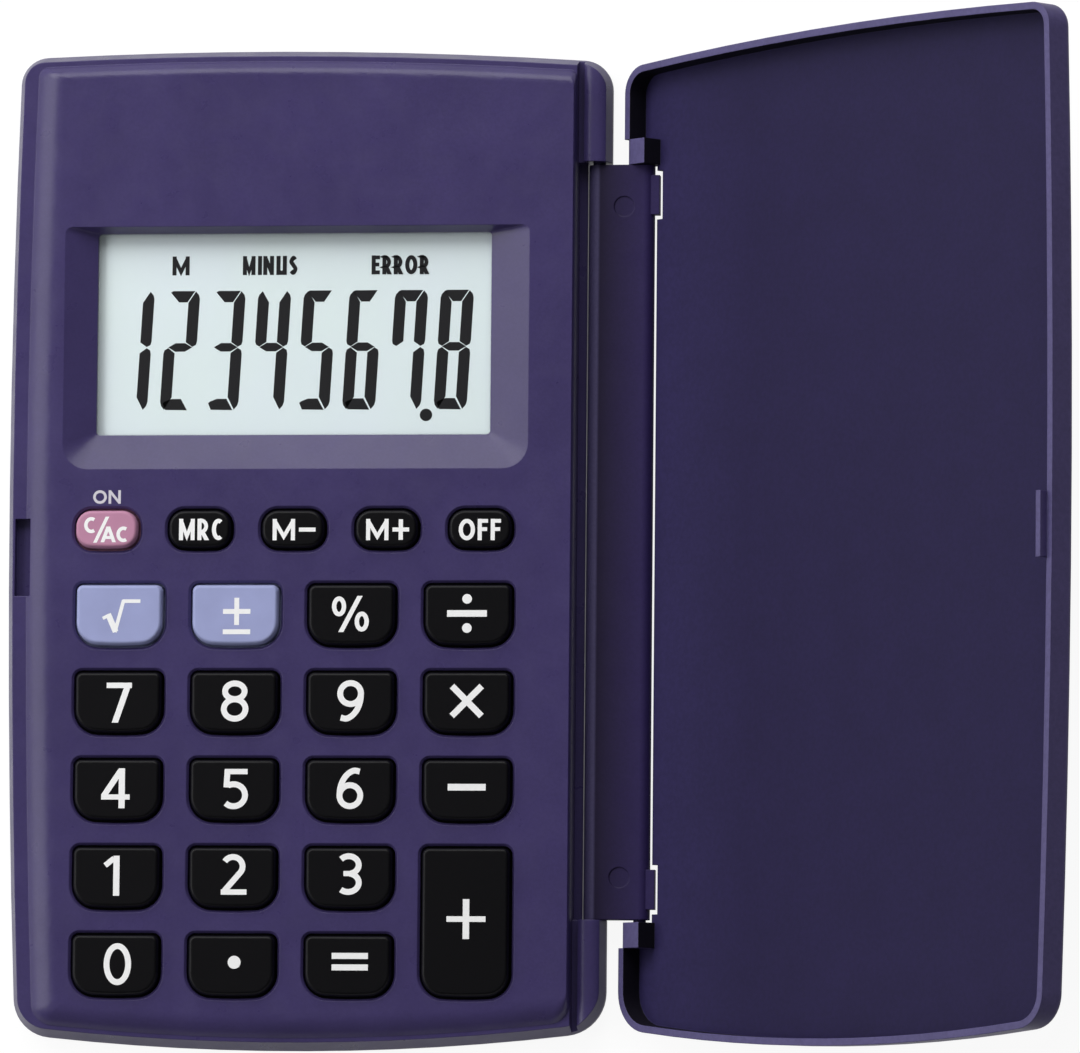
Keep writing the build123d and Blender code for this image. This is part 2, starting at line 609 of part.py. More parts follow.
def front_case():
    """The front shell, with the raised face, key holes, display bezel and upper half ears."""
    shell = loft([Pos(0, 0, SPLIT_HEIGHT) * even_plan(0.0), Pos(0, 0, LEDGE_HEIGHT) * even_plan(SIDE_DRAFT)])
    ears = ear_profile() & shell
    shell -= block(WALL_X, 2 * HALF_WIDTH, -BODY_LENGTH, BODY_LENGTH, EAR_GROOVE_HEIGHT, FACE_HEIGHT)
    shell += ears
    shell -= link_space(0, FACE_HEIGHT)
    shell += raised_face()
    roof_share = (LEDGE_ROOF - SPLIT_HEIGHT) / (LEDGE_HEIGHT - SPLIT_HEIGHT)
    lower_inset = SIDE_WALL + roof_share * SIDE_DRAFT
    right_wall = SIDE_WALL
    lower = loft([
        Pos(0, 0, SPLIT_HEIGHT) * inner_plan(SIDE_WALL, right_wall),
        Pos(0, 0, LEDGE_ROOF) * inner_plan(lower_inset, right_wall),
    ])
    upper_plan = plan(
        FOOT_LEFT + FACE_WALL, FOOT_RIGHT + right_wall, FOOT_TOP + FACE_WALL, FOOT_BOTTOM + FACE_WALL
    )
    space = lower + slab(upper_plan, LEDGE_ROOF, FACE_ROOF)
    space -= window_frame(WINDOW_FLANGE + BEZEL_MARGIN, BEZEL_LEVEL, FACE_ROOF)
    space -= latch_boss()
    for x, y in case_screw_spots():
        space -= post(x, y, BOSS_RADIUS, SPLIT_HEIGHT, FACE_ROOF)
    shell -= space
    shell -= lip_ring(LIP_CLEARANCE, LIP_CLEARANCE)
    for x, y in case_screw_spots():
        shell -= post(x, y, SCREW_RADIUS, SPLIT_HEIGHT, SCREW_TIP + SCREW_HOLE_CLEARANCE)
    shell -= recess_cutter()
    shell -= window_frame(0.0, BEZEL_LIP_LEVEL, WINDOW_LEVEL)
    shell -= window_frame(WINDOW_FLANGE + WINDOW_CLEARANCE, BEZEL_LEVEL, BEZEL_LIP_LEVEL)
    for _, x, y, outline, extra_width, extra_height in key_places():
        shell -= Pos(x, y, 0) * key_hole(outline, extra_width, extra_height)
    shell -= latch_pocket()
    shell -= pin_bores()
    for x, y in post_spots():
        shell += post(x, y, POST_RADIUS, BOARD_LEVEL, FACE_ROOF)
    return shell


def cover_outline(grow=0.0):
    """The outline of the opening for the battery cover."""
    outline = RectangleRounded(COVER_WIDTH + 2 * grow, COVER_HEIGHT + 2 * grow, COVER_CORNER + grow)
    return Pos(COVER_X, COVER_Y) * outline


def cell_well():
    """The opening above the battery cover that the cell drops through."""
    left = CELL_X - CELL_RADIUS - COVER_SEAT
    right = COVER_RIGHT - COVER_SEAT
    half = COVER_HEIGHT / 2 - COVER_SEAT
    return block(left, right, COVER_Y - half, COVER_Y + half, 0, FACE_HEIGHT)


def rear_case():
    """The rear shell, with the board rails, screw bosses, battery seat and lower half ears."""
    shell = slab(even_plan(0.0), 0, SPLIT_HEIGHT)
    shell = fillet(shell.edges().group_by(Axis.Z)[0], REAR_EDGE_RADIUS)
    shell -= link_space(0, SPLIT_HEIGHT)
    shell += hinge_shelf()
    shell -= slab(inner_plan(SIDE_WALL, SIDE_WALL), REAR_WALL, SPLIT_HEIGHT)
    shell += lip_ring(0.0, 0.0)
    seat_top = REAR_WALL + COVER_SEAT_THICKNESS
    shell += slab(cover_outline(BOSS_WALL), REAR_WALL, seat_top)
    boss_top = COVER_SCREW_SEAT + COVER_SCREW_LENGTH + SCREW_HOLE_CLEARANCE
    shell += post(COVER_SCREW_X, COVER_Y, COVER_SCREW_RADIUS + BOSS_WALL, REAR_WALL, boss_top)
    shell -= slab(cover_outline(), 0, REAR_WALL)
    shell -= cell_well()
    shell -= post(COVER_SCREW_X, COVER_Y, COVER_SCREW_RADIUS, 0, boss_top)
    for x, y in case_screw_spots():
        shell += post(x, y, REAR_BOSS_RADIUS, REAR_WALL, SPLIT_HEIGHT)
        shell -= post(x, y, SCREW_RADIUS + SCREW_HOLE_CLEARANCE, 0, SPLIT_HEIGHT)
        shell -= post(x, y, SCREW_HEAD_RADIUS + SCREW_HOLE_CLEARANCE, 0, SCREW_SEAT)
    rail_end = HALF_WIDTH - BOARD_RAIL_INSET
    rail_side = BOARD_RAIL_WIDTH / 2
    for y in rail_rows():
        shell += block(-rail_end, rail_end, y - rail_side, y + rail_side, REAR_WALL, BOARD_BOTTOM)
    shell -= pin_bores()
    return shell


def screw(x, y, seat, shank_radius, head_radius, head_height, length):
    """A slotted pan screw driven upwards, with the underside of its head at the seat."""
    body = post(x, y, head_radius, seat - head_height, seat)
    body += post(x, y, shank_radius, seat, seat + length)
    slot_half = SCREW_SLOT / 2
    low = seat - head_height
    body -= block(x - head_radius, x + head_radius, y - slot_half, y + slot_half, low, low + SCREW_SLOT)
    return body


def case_screws():
    """The screws that clamp the two shells together."""
    screws = []
    for x, y in case_screw_spots():
        screws.append(screw(
            x, y, SCREW_SEAT, SCREW_RADIUS, SCREW_HEAD_RADIUS, SCREW_HEAD_HEIGHT, SCREW_LENGTH
        ))
    return Compound(children=screws)


def battery_cover():
    """The cover of the cell, with grip grooves and a sunk screw hole."""
    cover = slab(cover_outline(-COVER_CLEARANCE), 0, REAR_WALL)
    cover -= post(COVER_SCREW_X, COVER_Y, COVER_SCREW_RADIUS + SCREW_HOLE_CLEARANCE, 0, REAR_WALL)
    cover -= post(
        COVER_SCREW_X, COVER_Y, COVER_SCREW_HEAD_RADIUS + SCREW_HOLE_CLEARANCE, 0, COVER_SCREW_SEAT
    )
    half = COVER_GRIP_LENGTH / 2
    for index in range(COVER_GRIP_COUNT):
        x = CELL_X + (index - (COVER_GRIP_COUNT - 1) / 2) * COVER_GRIP_PITCH
        side = COVER_GRIP_WIDTH / 2
        cover -= block(x - side, x + side, COVER_Y - half, COVER_Y + half, 0, COVER_GRIP_DEPTH)
    return cover


def battery_cover_screw():
    """The one screw that holds the battery cover."""
    return screw(
        COVER_SCREW_X, COVER_Y, COVER_SCREW_SEAT, COVER_SCREW_RADIUS,
        COVER_SCREW_HEAD_RADIUS, COVER_SCREW_HEAD_HEIGHT, COVER_SCREW_LENGTH,
    )


def display_window():
    """The clear window: a pane that fills the opening and a flange behind the bezel."""
    pane_top = WINDOW_LEVEL - WINDOW_PANE_DROP
    window = window_frame(WINDOW_FLANGE, BEZEL_LEVEL, BEZEL_LIP_LEVEL)
    return window + window_frame(-WINDOW_CLEARANCE, BEZEL_LEVEL, pane_top)


def glass_sheet(top, thickness, lower_edge=0.0, shrink=0.0):
    """One sheet of the display, hung below a level, with an optional longer lower edge."""
    half_width = WINDOW_WIDTH / 2 + GLASS_MARGIN - shrink
    half_height = WINDOW_HEIGHT / 2 + GLASS_MARGIN - shrink
    y_low = WINDOW_Y - half_height - lower_edge
    y_high = WINDOW_Y + half_height
    return block(WINDOW_X - half_width, WINDOW_X + half_width, y_low, y_high, top - thickness, top)


def display_holder():
    """The tray that carries the display sheets above the board."""
    half_width = WINDOW_WIDTH / 2 + GLASS_MARGIN + HOLDER_CLEARANCE
    half_height = WINDOW_HEIGHT / 2 + GLASS_MARGIN + HOLDER_CLEARANCE
    left = WINDOW_X - half_width
    right = WINDOW_X + half_width
    low = WINDOW_Y - half_height - GLASS_CONTACT_LEDGE
    high = WINDOW_Y + half_height
    tray = block(
        left - HOLDER_RIM, right + HOLDER_RIM, low - HOLDER_RIM, high + HOLDER_RIM, BOARD_LEVEL, BEZEL_LEVEL
    )
    tray -= block(left, right, low, high, STACK_BOTTOM, BEZEL_LEVEL)
    return tray - strip_block(HOLDER_CLEARANCE)


def strip_block(grow):
    """The rubber contact strip between the board and the lower edge of the front glass."""
    half_width = WINDOW_WIDTH / 2 + GLASS_MARGIN - CONTACT_STRIP_END + grow
    low = WINDOW_Y - WINDOW_HEIGHT / 2 - GLASS_MARGIN - GLASS_CONTACT_LEDGE + HOLDER_CLEARANCE
    high = low + CONTACT_STRIP_WIDTH
    return block(
        WINDOW_X - half_width,
        WINDOW_X + half_width,
        low - grow,
        high + grow,
        BOARD_LEVEL,
        FRONT_GLASS_BOTTOM,
    )


def circuit_board():
    """The board, notched around the cell and cleared around the screw bosses."""
    margin = SIDE_WALL + BOARD_MARGIN
    board = slab(inner_plan(margin, margin), BOARD_BOTTOM, BOARD_LEVEL)
    board -= block(
        BOARD_NOTCH_LEFT, BOARD_NOTCH_RIGHT, BOARD_NOTCH_BOTTOM, BODY_LENGTH, BOARD_BOTTOM, BOARD_LEVEL
    )
    for x, y in case_screw_spots():
        board -= post(x, y, REAR_BOSS_RADIUS + BOARD_HOLE_CLEARANCE, BOARD_BOTTOM, BOARD_LEVEL)
    for x, y in corner_screws():
        x_ends = sorted((x, copysign(HALF_WIDTH, x)))
        y_ends = sorted((y, copysign(HALF_LENGTH, y)))
        board -= block(*x_ends, *y_ends, BOARD_BOTTOM, BOARD_LEVEL)
    return board


def key_mat():
    """The rubber mat: a base sheet with one hollow dome under each key."""
    left = KEY_FIRST_X - KEY_HOLE_WIDTH / 2 + MAT_INSET
    right = TALL_KEY_X + KEY_HOLE_WIDTH / 2
    low = KEY_FIRST_Y - (KEY_ROWS - 1) * KEY_PITCH_Y - KEY_HOLE_HEIGHT / 2
    high = SMALL_KEY_Y + SMALL_HOLE_HEIGHT / 2
    mat = block(left, right, low, high, BOARD_LEVEL, BOARD_LEVEL + MAT_BASE)
    for _, x, y, outline, _, extra_height in key_places():
        foot = DOME_FOOT_RADIUS
        top = DOME_TOP_RADIUS
        if outline is small_outline:
            foot = SMALL_DOME_FOOT_RADIUS
            top = SMALL_DOME_TOP_RADIUS
        base = BOARD_LEVEL + MAT_BASE
        height = FLANGE_LEVEL - base
        mat += Pos(x, y, base + height / 2) * Cone(foot, top, height)
        inner = height + MAT_BASE - DOME_SKIN
        mat -= Pos(x, y, BOARD_LEVEL + inner / 2) * Cone(foot - DOME_SKIN, top - DOME_SKIN, inner)
    for x, y in post_spots():
        mat -= post(x, y, POST_RADIUS + POST_CLEARANCE, BOARD_LEVEL, FACE_HEIGHT)
    return mat


def chip_blob():
    """The drop of black resin over the calculator chip."""
    sphere_radius = (CHIP_RADIUS ** 2 + CHIP_HEIGHT ** 2) / (2 * CHIP_HEIGHT)
    ball = Pos(CHIP_X, CHIP_Y, BOARD_LEVEL + CHIP_HEIGHT - sphere_radius) * Sphere(sphere_radius)
    return ball & post(CHIP_X, CHIP_Y, CHIP_RADIUS, BOARD_LEVEL, FACE_ROOF)


def board_parts():
    """The small capacitors beside the chip."""
    parts = []
    low = CHIP_Y - CAPACITOR_UNDER_CHIP - CAPACITOR_WIDTH / 2
    high = low + CAPACITOR_WIDTH
    top = BOARD_LEVEL + CAPACITOR_HEIGHT
    for index in range(CAPACITOR_COUNT):
        x = CAPACITOR_INSET_X - HALF_WIDTH + index * CAPACITOR_PITCH
        half = CAPACITOR_LENGTH / 2
        parts.append(block(x - half, x + half, low, high, BOARD_LEVEL, top))
    return Compound(children=parts)


def button_cell():
    """The button cell, standing on the battery cover with its smaller pole up."""
    can_top = REAR_WALL + CELL_THICKNESS - CELL_STEP
    can = post(CELL_X, CELL_Y, CELL_RADIUS, REAR_WALL, can_top)
    return can + post(CELL_X, CELL_Y, CELL_RADIUS - CELL_STEP_INSET, can_top, REAR_WALL + CELL_THICKNESS)


def contact_minus():
    """The contact strip over the cell, with a leg down to the board."""
    low = CONTACT_MINUS_Y - CONTACT_WIDTH / 2
    high = CONTACT_MINUS_Y + CONTACT_WIDTH / 2
    level = REAR_WALL + CELL_THICKNESS
    leg_x = CONTACT_LANDING_X
    strip = block(CELL_X, leg_x, low, high, level, level + CONTACT_THICKNESS)
    strip += block(leg_x - CONTACT_THICKNESS, leg_x, low, high, BOARD_LEVEL, level + CONTACT_THICKNESS)
    return strip + block(
        leg_x - CONTACT_THICKNESS, leg_x + CONTACT_FOOT,
        low, high, BOARD_LEVEL, BOARD_LEVEL + CONTACT_THICKNESS
    )


def contact_plus():
    """The contact leaf against the side of the cell, with an arm to the board."""
    low = CONTACT_PLUS_Y - CONTACT_WIDTH / 2
    high = CONTACT_PLUS_Y + CONTACT_WIDTH / 2
    face_x = CELL_X + CELL_RADIUS + CONTACT_GAP
    top = REAR_WALL + CELL_THICKNESS - CONTACT_TOP_CLEARANCE
    leaf = block(face_x, face_x + CONTACT_THICKNESS, low, high, BOARD_LEVEL, top)
    return leaf + block(
        face_x, CONTACT_LANDING_X + CONTACT_FOOT, low, high, BOARD_LEVEL, BOARD_LEVEL + CONTACT_THICKNESS
    )


def hinge_link():
    """The flat link with a barrel along each edge, end pins, edge tabs and ejector marks."""
    far_x = AXIS_X + LINK_PITCH
    low = LINK_Y - LINK_LENGTH / 2
    high = LINK_Y + LINK_LENGTH / 2
    radius = LINK_BARREL_RADIUS
    link = block(AXIS_X, far_x, low, high, HINGE_HEIGHT - radius, HINGE_HEIGHT + radius)
    for x in (AXIS_X, far_x):
        link += rod_y(x, HINGE_HEIGHT, radius, low, high)
        link += rod_y(x, HINGE_HEIGHT, PIN_RADIUS, low - PIN_LENGTH, high + PIN_LENGTH)
    for side in (-1, 1):
        tab_y = LINK_Y + side * LINK_TAB_OFFSET
        half = LINK_TAB_LENGTH / 2
        tab_top = HINGE_HEIGHT + radius - LINK_TAB_DROP
        link += block(
            far_x, far_x + radius + LINK_TAB_REACH,
            tab_y - half, tab_y + half, tab_top - LINK_TAB_HEIGHT, tab_top
        )
        mark_y = LINK_Y + side * EJECTOR_MARK_OFFSET
        top = HINGE_HEIGHT + radius
        link -= post(AXIS_X + EJECTOR_MARK_X, mark_y, EJECTOR_MARK_RADIUS, top - EJECTOR_MARK_DEPTH, top)
    return link


def lid_plan(inset):
    """The lid outline in lid coordinates: x away from the hinge, z into the hollow of the lid."""
    edge = LID_INSET + inset
    return Pos(AXIS_X, LID_SHIFT) * mirror(plan(edge, inset, edge, edge), about=Plane.YZ)


def knuckle(y_low, y_high):
    """One knuckle of the lid around the pin of the link, in lid coordinates."""
    body = block(-EAR_AXIS_INSET, KNUCKLE_REACH, y_low, y_high, -LID_OUTER_BELOW_AXIS, KNUCKLE_RISE)
    return fillet(body.edges().filter_by(Axis.Y).group_by(Axis.X)[0], KNUCKLE_ROUNDING)


def lid():
    """The hollow lid with its knuckles and latch tongue, tilted up about the far axis."""
    outer = LID_OUTER_BELOW_AXIS
    shell = slab(lid_plan(0.0), -outer, LID_RIM)
    shell = fillet(shell.edges().group_by(Axis.Z)[0], LID_EDGE_RADIUS)
    shell -= slab(lid_plan(LID_WALL), LID_INNER, LID_RIM)
    low = LID_CUT_Y - LID_CUT_LENGTH / 2
    high = LID_CUT_Y + LID_CUT_LENGTH / 2
    shell -= block(-2 * EAR_AXIS_INSET, LID_CUT_EDGE, low, high, -outer, LID_RIM)
    for side, start in ((1, high), (-1, low)):
        end = start + side * KNUCKLE_WIDTH
        y_low = min(start, end)
        y_high = max(start, end)
        shell -= block(-2 * EAR_AXIS_INSET, 0, y_low, y_high, -outer, LID_RIM)
        shell += knuckle(y_low, y_high)
        bore_end = start + side * BORE_DEPTH
        shell -= rod_y(0, 0, BORE_RADIUS, min(start, bore_end), max(start, bore_end))
        tab_y = LINK_Y + side * LINK_TAB_OFFSET
        half = LINK_TAB_LENGTH / 2 + LID_RELIEF_CLEARANCE
        shell -= block(
            0, LID_CUT_EDGE + LID_RELIEF_DEPTH, tab_y - half, tab_y + half, -outer, LID_RIM
        )
    shell += latch_tongue()
    tilt = Location((AXIS_X + LINK_PITCH, 0, HINGE_HEIGHT), (0, -LID_TILT, 0))
    return tilt * shell


def latch_tongue():
    """The tongue inside the free edge of the lid, reaching past its rim."""
    outer_x = AXIS_X + HALF_WIDTH - LID_INSET - LID_WALL
    half = LATCH_TONGUE_LENGTH / 2
    rim = LID_RIM + LATCH_TONGUE_REACH
    tongue = block(
        outer_x - LATCH_TONGUE_THICKNESS, outer_x + LATCH_TONGUE_ROOT,
        LATCH_Y - half, LATCH_Y + half, LID_INNER, LID_RIM
    )
    return tongue + block(
        outer_x - LATCH_TONGUE_THICKNESS, outer_x, LATCH_Y - half, LATCH_Y + half, LID_INNER, rim
    )


def keys():
    """Every key at its place."""
    caps = {}
    for name, x, y, outline, extra_width, extra_height in key_places():
        caps[name] = Pos(x, y, 0) * key_cap(outline, extra_width, extra_height)
    return caps


def assembly():
    """Every piece of the calculator, by node name."""
    front_glass_top = BEZEL_LEVEL - POLARISER_THICKNESS
    rear_glass_top = front_glass_top - GLASS_THICKNESS
    reflector_top = rear_glass_top - GLASS_THICKNESS
    nodes = {
        "front_case": front_case(),
        "rear_case": rear_case(),
        "case_screws": case_screws(),
        "battery_cover": battery_cover(),
        "battery_cover_screw": battery_cover_screw(),
        "display_window": display_window(),
        "display_front_polariser": glass_sheet(BEZEL_LEVEL, POLARISER_THICKNESS, shrink=GLASS_MARGIN / 2),
        "display_front_glass": glass_sheet(front_glass_top, GLASS_THICKNESS, GLASS_CONTACT_LEDGE),
        "display_rear_glass": glass_sheet(rear_glass_top, GLASS_THICKNESS),
        "display_reflector": glass_sheet(reflector_top, POLARISER_THICKNESS),
        "display_holder": display_holder(),
        "display_contact_strip": strip_block(0.0),
        "circuit_board": circuit_board(),
        "key_mat": key_mat(),
        "chip": chip_blob(),
        "board_capacitors": board_parts(),
        "button_cell": button_cell(),
        "battery_contact_minus": contact_minus(),
        "battery_contact_plus": contact_plus(),
        "hinge_link": hinge_link(),
        "lid": lid(),
    }
    nodes.update(keys())
    return nodes


os.makedirs("parts", exist_ok=True)
for node, shape in assembly().items():
    export_step(shape, f"parts/{node}.step")
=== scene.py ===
import json
import math

import bmesh
import bpy
from mathutils import Matrix, Quaternion, Vector


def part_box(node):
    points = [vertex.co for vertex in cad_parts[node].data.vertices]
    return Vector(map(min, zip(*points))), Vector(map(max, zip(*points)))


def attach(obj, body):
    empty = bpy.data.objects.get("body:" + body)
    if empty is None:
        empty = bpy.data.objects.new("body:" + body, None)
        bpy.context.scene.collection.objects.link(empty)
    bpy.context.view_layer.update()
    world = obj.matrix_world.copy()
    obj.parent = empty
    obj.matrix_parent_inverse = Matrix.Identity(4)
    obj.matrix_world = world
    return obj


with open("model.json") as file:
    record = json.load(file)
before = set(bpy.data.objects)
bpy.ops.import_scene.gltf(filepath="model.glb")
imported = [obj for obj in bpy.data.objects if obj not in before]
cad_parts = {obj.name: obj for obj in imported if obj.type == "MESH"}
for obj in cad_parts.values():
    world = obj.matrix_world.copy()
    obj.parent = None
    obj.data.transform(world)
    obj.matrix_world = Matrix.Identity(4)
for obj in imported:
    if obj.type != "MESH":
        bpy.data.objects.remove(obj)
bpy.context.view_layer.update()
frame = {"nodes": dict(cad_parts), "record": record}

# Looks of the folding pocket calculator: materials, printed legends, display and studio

MM = 0.001
NODES = frame["nodes"]
SLOTS = {part["node"]: part["material_slot"] for part in frame["record"]["subparts"]}

# Camera, from a fit of the case, key grid and lid to the photograph
PHOTO_WIDTH = 1080
CAMERA_PLACE = (0.16636, -0.09357, 1.11581)
CAMERA_TURN = (0.08611, 0.12179, 0.00344)
FOCAL_PIXELS = 8920.65
SENSOR_WIDTH = 36.0

# The lid's tilt in the photograph, in degrees from flat
LID_TILT = 41.0

# Print heights above what they are printed on, and stroke widths, in millimetres
INK_LIFT = 0.012
INK_STEP = 0.0015
DIGIT_STROKE = 0.74
SIGN_STROKE = 0.80
SMALL_STROKE = 0.52
PRINT_STROKE = 0.34
DISPLAY_STROKE = 0.52

# The printed word above the first key: its middle and the height of the face, in millimetres
ON_MIDDLE = (-25.1, 6.25)
FACE_TOP = 6.8

# Soft lights: how far away they stand and how wide they are, in metres
LIGHT_DISTANCE = 0.80
SOFTBOX_WIDTH = 0.60
CORNER_WIDTH = 0.34

# Surroundings: even fill, the dim ceiling that mirrored rays see, and the floor's glow
FILL_LIGHT = 0.20
CEILING_LIGHT = 0.09
FLOOR_DROP = 0.04
FLOOR_GLOW = 1.14
FLOOR_SEEN = 0.80
FLOOR_MIRRORED = 0.30


# ---------------------------------------------------------------- camera

def make_camera():
    data = bpy.data.cameras.new("camera")
    data.sensor_width = SENSOR_WIDTH
    data.lens = FOCAL_PIXELS * SENSOR_WIDTH / PHOTO_WIDTH
    data.clip_start = 0.05
    data.clip_end = 20.0
    camera = bpy.data.objects.new("camera", data)
    turn = Vector(CAMERA_TURN)
    camera.rotation_mode = "QUATERNION"
    camera.rotation_quaternion = Quaternion(turn.normalized(), turn.length)
    camera.location = CAMERA_PLACE
    bpy.context.scene.collection.objects.link(camera)
    bpy.context.scene.camera = camera


# ---------------------------------------------------------------- materials

class Tree:
    """A small helper for building one material's nodes."""

    def __init__(self, name):
        self.material = bpy.data.materials.new(name)
        self.material.use_nodes = True
        self.tree = self.material.node_tree
        self.tree.nodes.clear()
        self.output = self.add("ShaderNodeOutputMaterial")

    def add(self, kind, **values):
        node = self.tree.nodes.new(kind)
        for name, value in values.items():
            setattr(node, name, value)
        return node

    def link(self, source, target):
        self.tree.links.new(source, target)

    def noise(self, scale, detail=3.0, rough=0.5, kind="FBM"):
        place = self.add("ShaderNodeTexCoord")
        noise = self.add("ShaderNodeTexNoise")
        noise.noise_dimensions = "3D"
        noise.inputs["Scale"].default_value = scale
        noise.inputs["Detail"].default_value = detail
        noise.inputs["Roughness"].default_value = rough
        self.link(place.outputs["Object"], noise.inputs["Vector"])
        return noise.outputs["Fac"]

    def ramp(self, value, low, high, out_low, out_high):
        node = self.add("ShaderNodeMapRange")
        node.inputs["From Min"].default_value = low
        node.inputs["From Max"].default_value = high
        node.inputs["To Min"].default_value = out_low
        node.inputs["To Max"].default_value = out_high
        self.link(value, node.inputs["Value"])
        return node.outputs["Result"]

    def math(self, operation, first, second):
        node = self.add("ShaderNodeMath", operation=operation)
        for index, value in enumerate((first, second)):
            if isinstance(value, (int, float)):
                node.inputs[index].default_value = value
            else:
                self.link(value, node.inputs[index])
        return node.outputs[0]

    def mix(self, share, first, second):
        node = self.add("ShaderNodeMix", data_type="RGBA")
        for index, value in ((0, share), (6, first), (7, second)):
            socket = node.inputs[index]
            if isinstance(value, tuple):
                socket.default_value = (*value, 1.0)
            elif isinstance(value, (int, float)):
                socket.default_value = value
            else:
                self.link(value, socket)
        return node.outputs[2]

    def scaled(self, colour, factor):
        """A colour multiplied by a varying number."""
        node = self.add("ShaderNodeMix", data_type="RGBA", blend_type="MULTIPLY")
        node.inputs[0].default_value = 1.0
        grey = self.add("ShaderNodeCombineColor")
        for channel in range(3):
            self.link(factor, grey.inputs[channel])
        if isinstance(colour, tuple):
            node.inputs[6].default_value = (*colour, 1.0)
        else:
            self.link(colour, node.inputs[6])
        self.link(grey.outputs[0], node.inputs[7])
        return node.outputs[2]

    def soft_normal(self, radius):
        bevel = self.add("ShaderNodeBevel", samples=6)
        bevel.inputs["Radius"].default_value = radius
        return bevel.outputs["Normal"]

    def edge_share(self, radius):
        """How near a point is to a sharp edge: 0 on flats, up to 1 on edges."""
        soft = self.soft_normal(radius)
        geometry = self.add("ShaderNodeNewGeometry")
        return self.ramp(self.dot(soft, geometry.outputs["Normal"]), 0.995, 0.80, 0.0, 1.0)

    def dot(self, vector, direction):
        """How far a varying vector reaches along a direction."""
        node = self.add("ShaderNodeVectorMath", operation="DOT_PRODUCT")
        self.link(vector, node.inputs[0])
        if isinstance(direction, (tuple, Vector)):
            node.inputs[1].default_value = tuple(direction)
        else:
            self.link(direction, node.inputs[1])
        return node.outputs["Value"]

    def bump(self, height, strength, distance, base=None):
        node = self.add("ShaderNodeBump")
        node.inputs["Strength"].default_value = strength
        node.inputs["Distance"].default_value = distance
        self.link(height, node.inputs["Height"])
        if base is not None:
            self.link(base, node.inputs["Normal"])
        return node.outputs["Normal"]

    def shader(self, colour, roughness, normal, specular=0.5, metallic=0.0, coat=0.0, coat_rough=0.1):
        node = self.add("ShaderNodeBsdfPrincipled")
        if isinstance(colour, tuple):
            node.inputs["Base Color"].default_value = (*colour, 1.0)
        else:
            self.link(colour, node.inputs["Base Color"])
        if isinstance(roughness, (int, float)):
            node.inputs["Roughness"].default_value = roughness
        else:
            self.link(roughness, node.inputs["Roughness"])
        if normal is not None:
            self.link(normal, node.inputs["Normal"])
        node.inputs["Specular IOR Level"].default_value = specular
        node.inputs["Metallic"].default_value = metallic
        node.inputs["Coat Weight"].default_value = coat
        node.inputs["Coat Roughness"].default_value = coat_rough
        return node.outputs["BSDF"]

    def finish(self, shader):
        self.link(shader, self.output.inputs["Surface"])
        return self.material


def moulded(name, colour, roughness=0.42, specular=0.5, grain=2600.0, grain_depth=0.006,
            edge_radius=0.00018, edge_lift=0.35, mottle=0.08):
    """Moulded plastic: fine spark texture, slight mottling, soft edges painted a little lighter as wear and
    as a painted highlight.
    """
    t = Tree(name)
    cloud = t.noise(90.0, 4.0, 0.6)
    shade = t.ramp(cloud, 0.3, 0.7, 1.0 - mottle, 1.0 + mottle)
    fine = t.noise(grain, 2.0, 0.6)
    speck = t.ramp(fine, 0.35, 0.65, 0.95, 1.05)
    body = t.scaled(colour, t.math("MULTIPLY", shade, speck))
    # Edges painted lighter: partly wear, partly a painted highlight.
    edge = t.edge_share(edge_radius)
    rubbed_and_highlit = tuple(min(1.0, c * (1.0 + edge_lift) + 0.006) for c in colour)
    mixed = t.mix(t.math("MULTIPLY", edge, 0.6), body, rubbed_and_highlit)
    rough = t.ramp(t.noise(350.0, 3.0), 0.3, 0.7, roughness - 0.04, roughness + 0.05)
    normal = t.bump(fine, 0.5, grain_depth * MM, t.soft_normal(edge_radius))
    return t.finish(t.shader(mixed, rough, normal, specular))


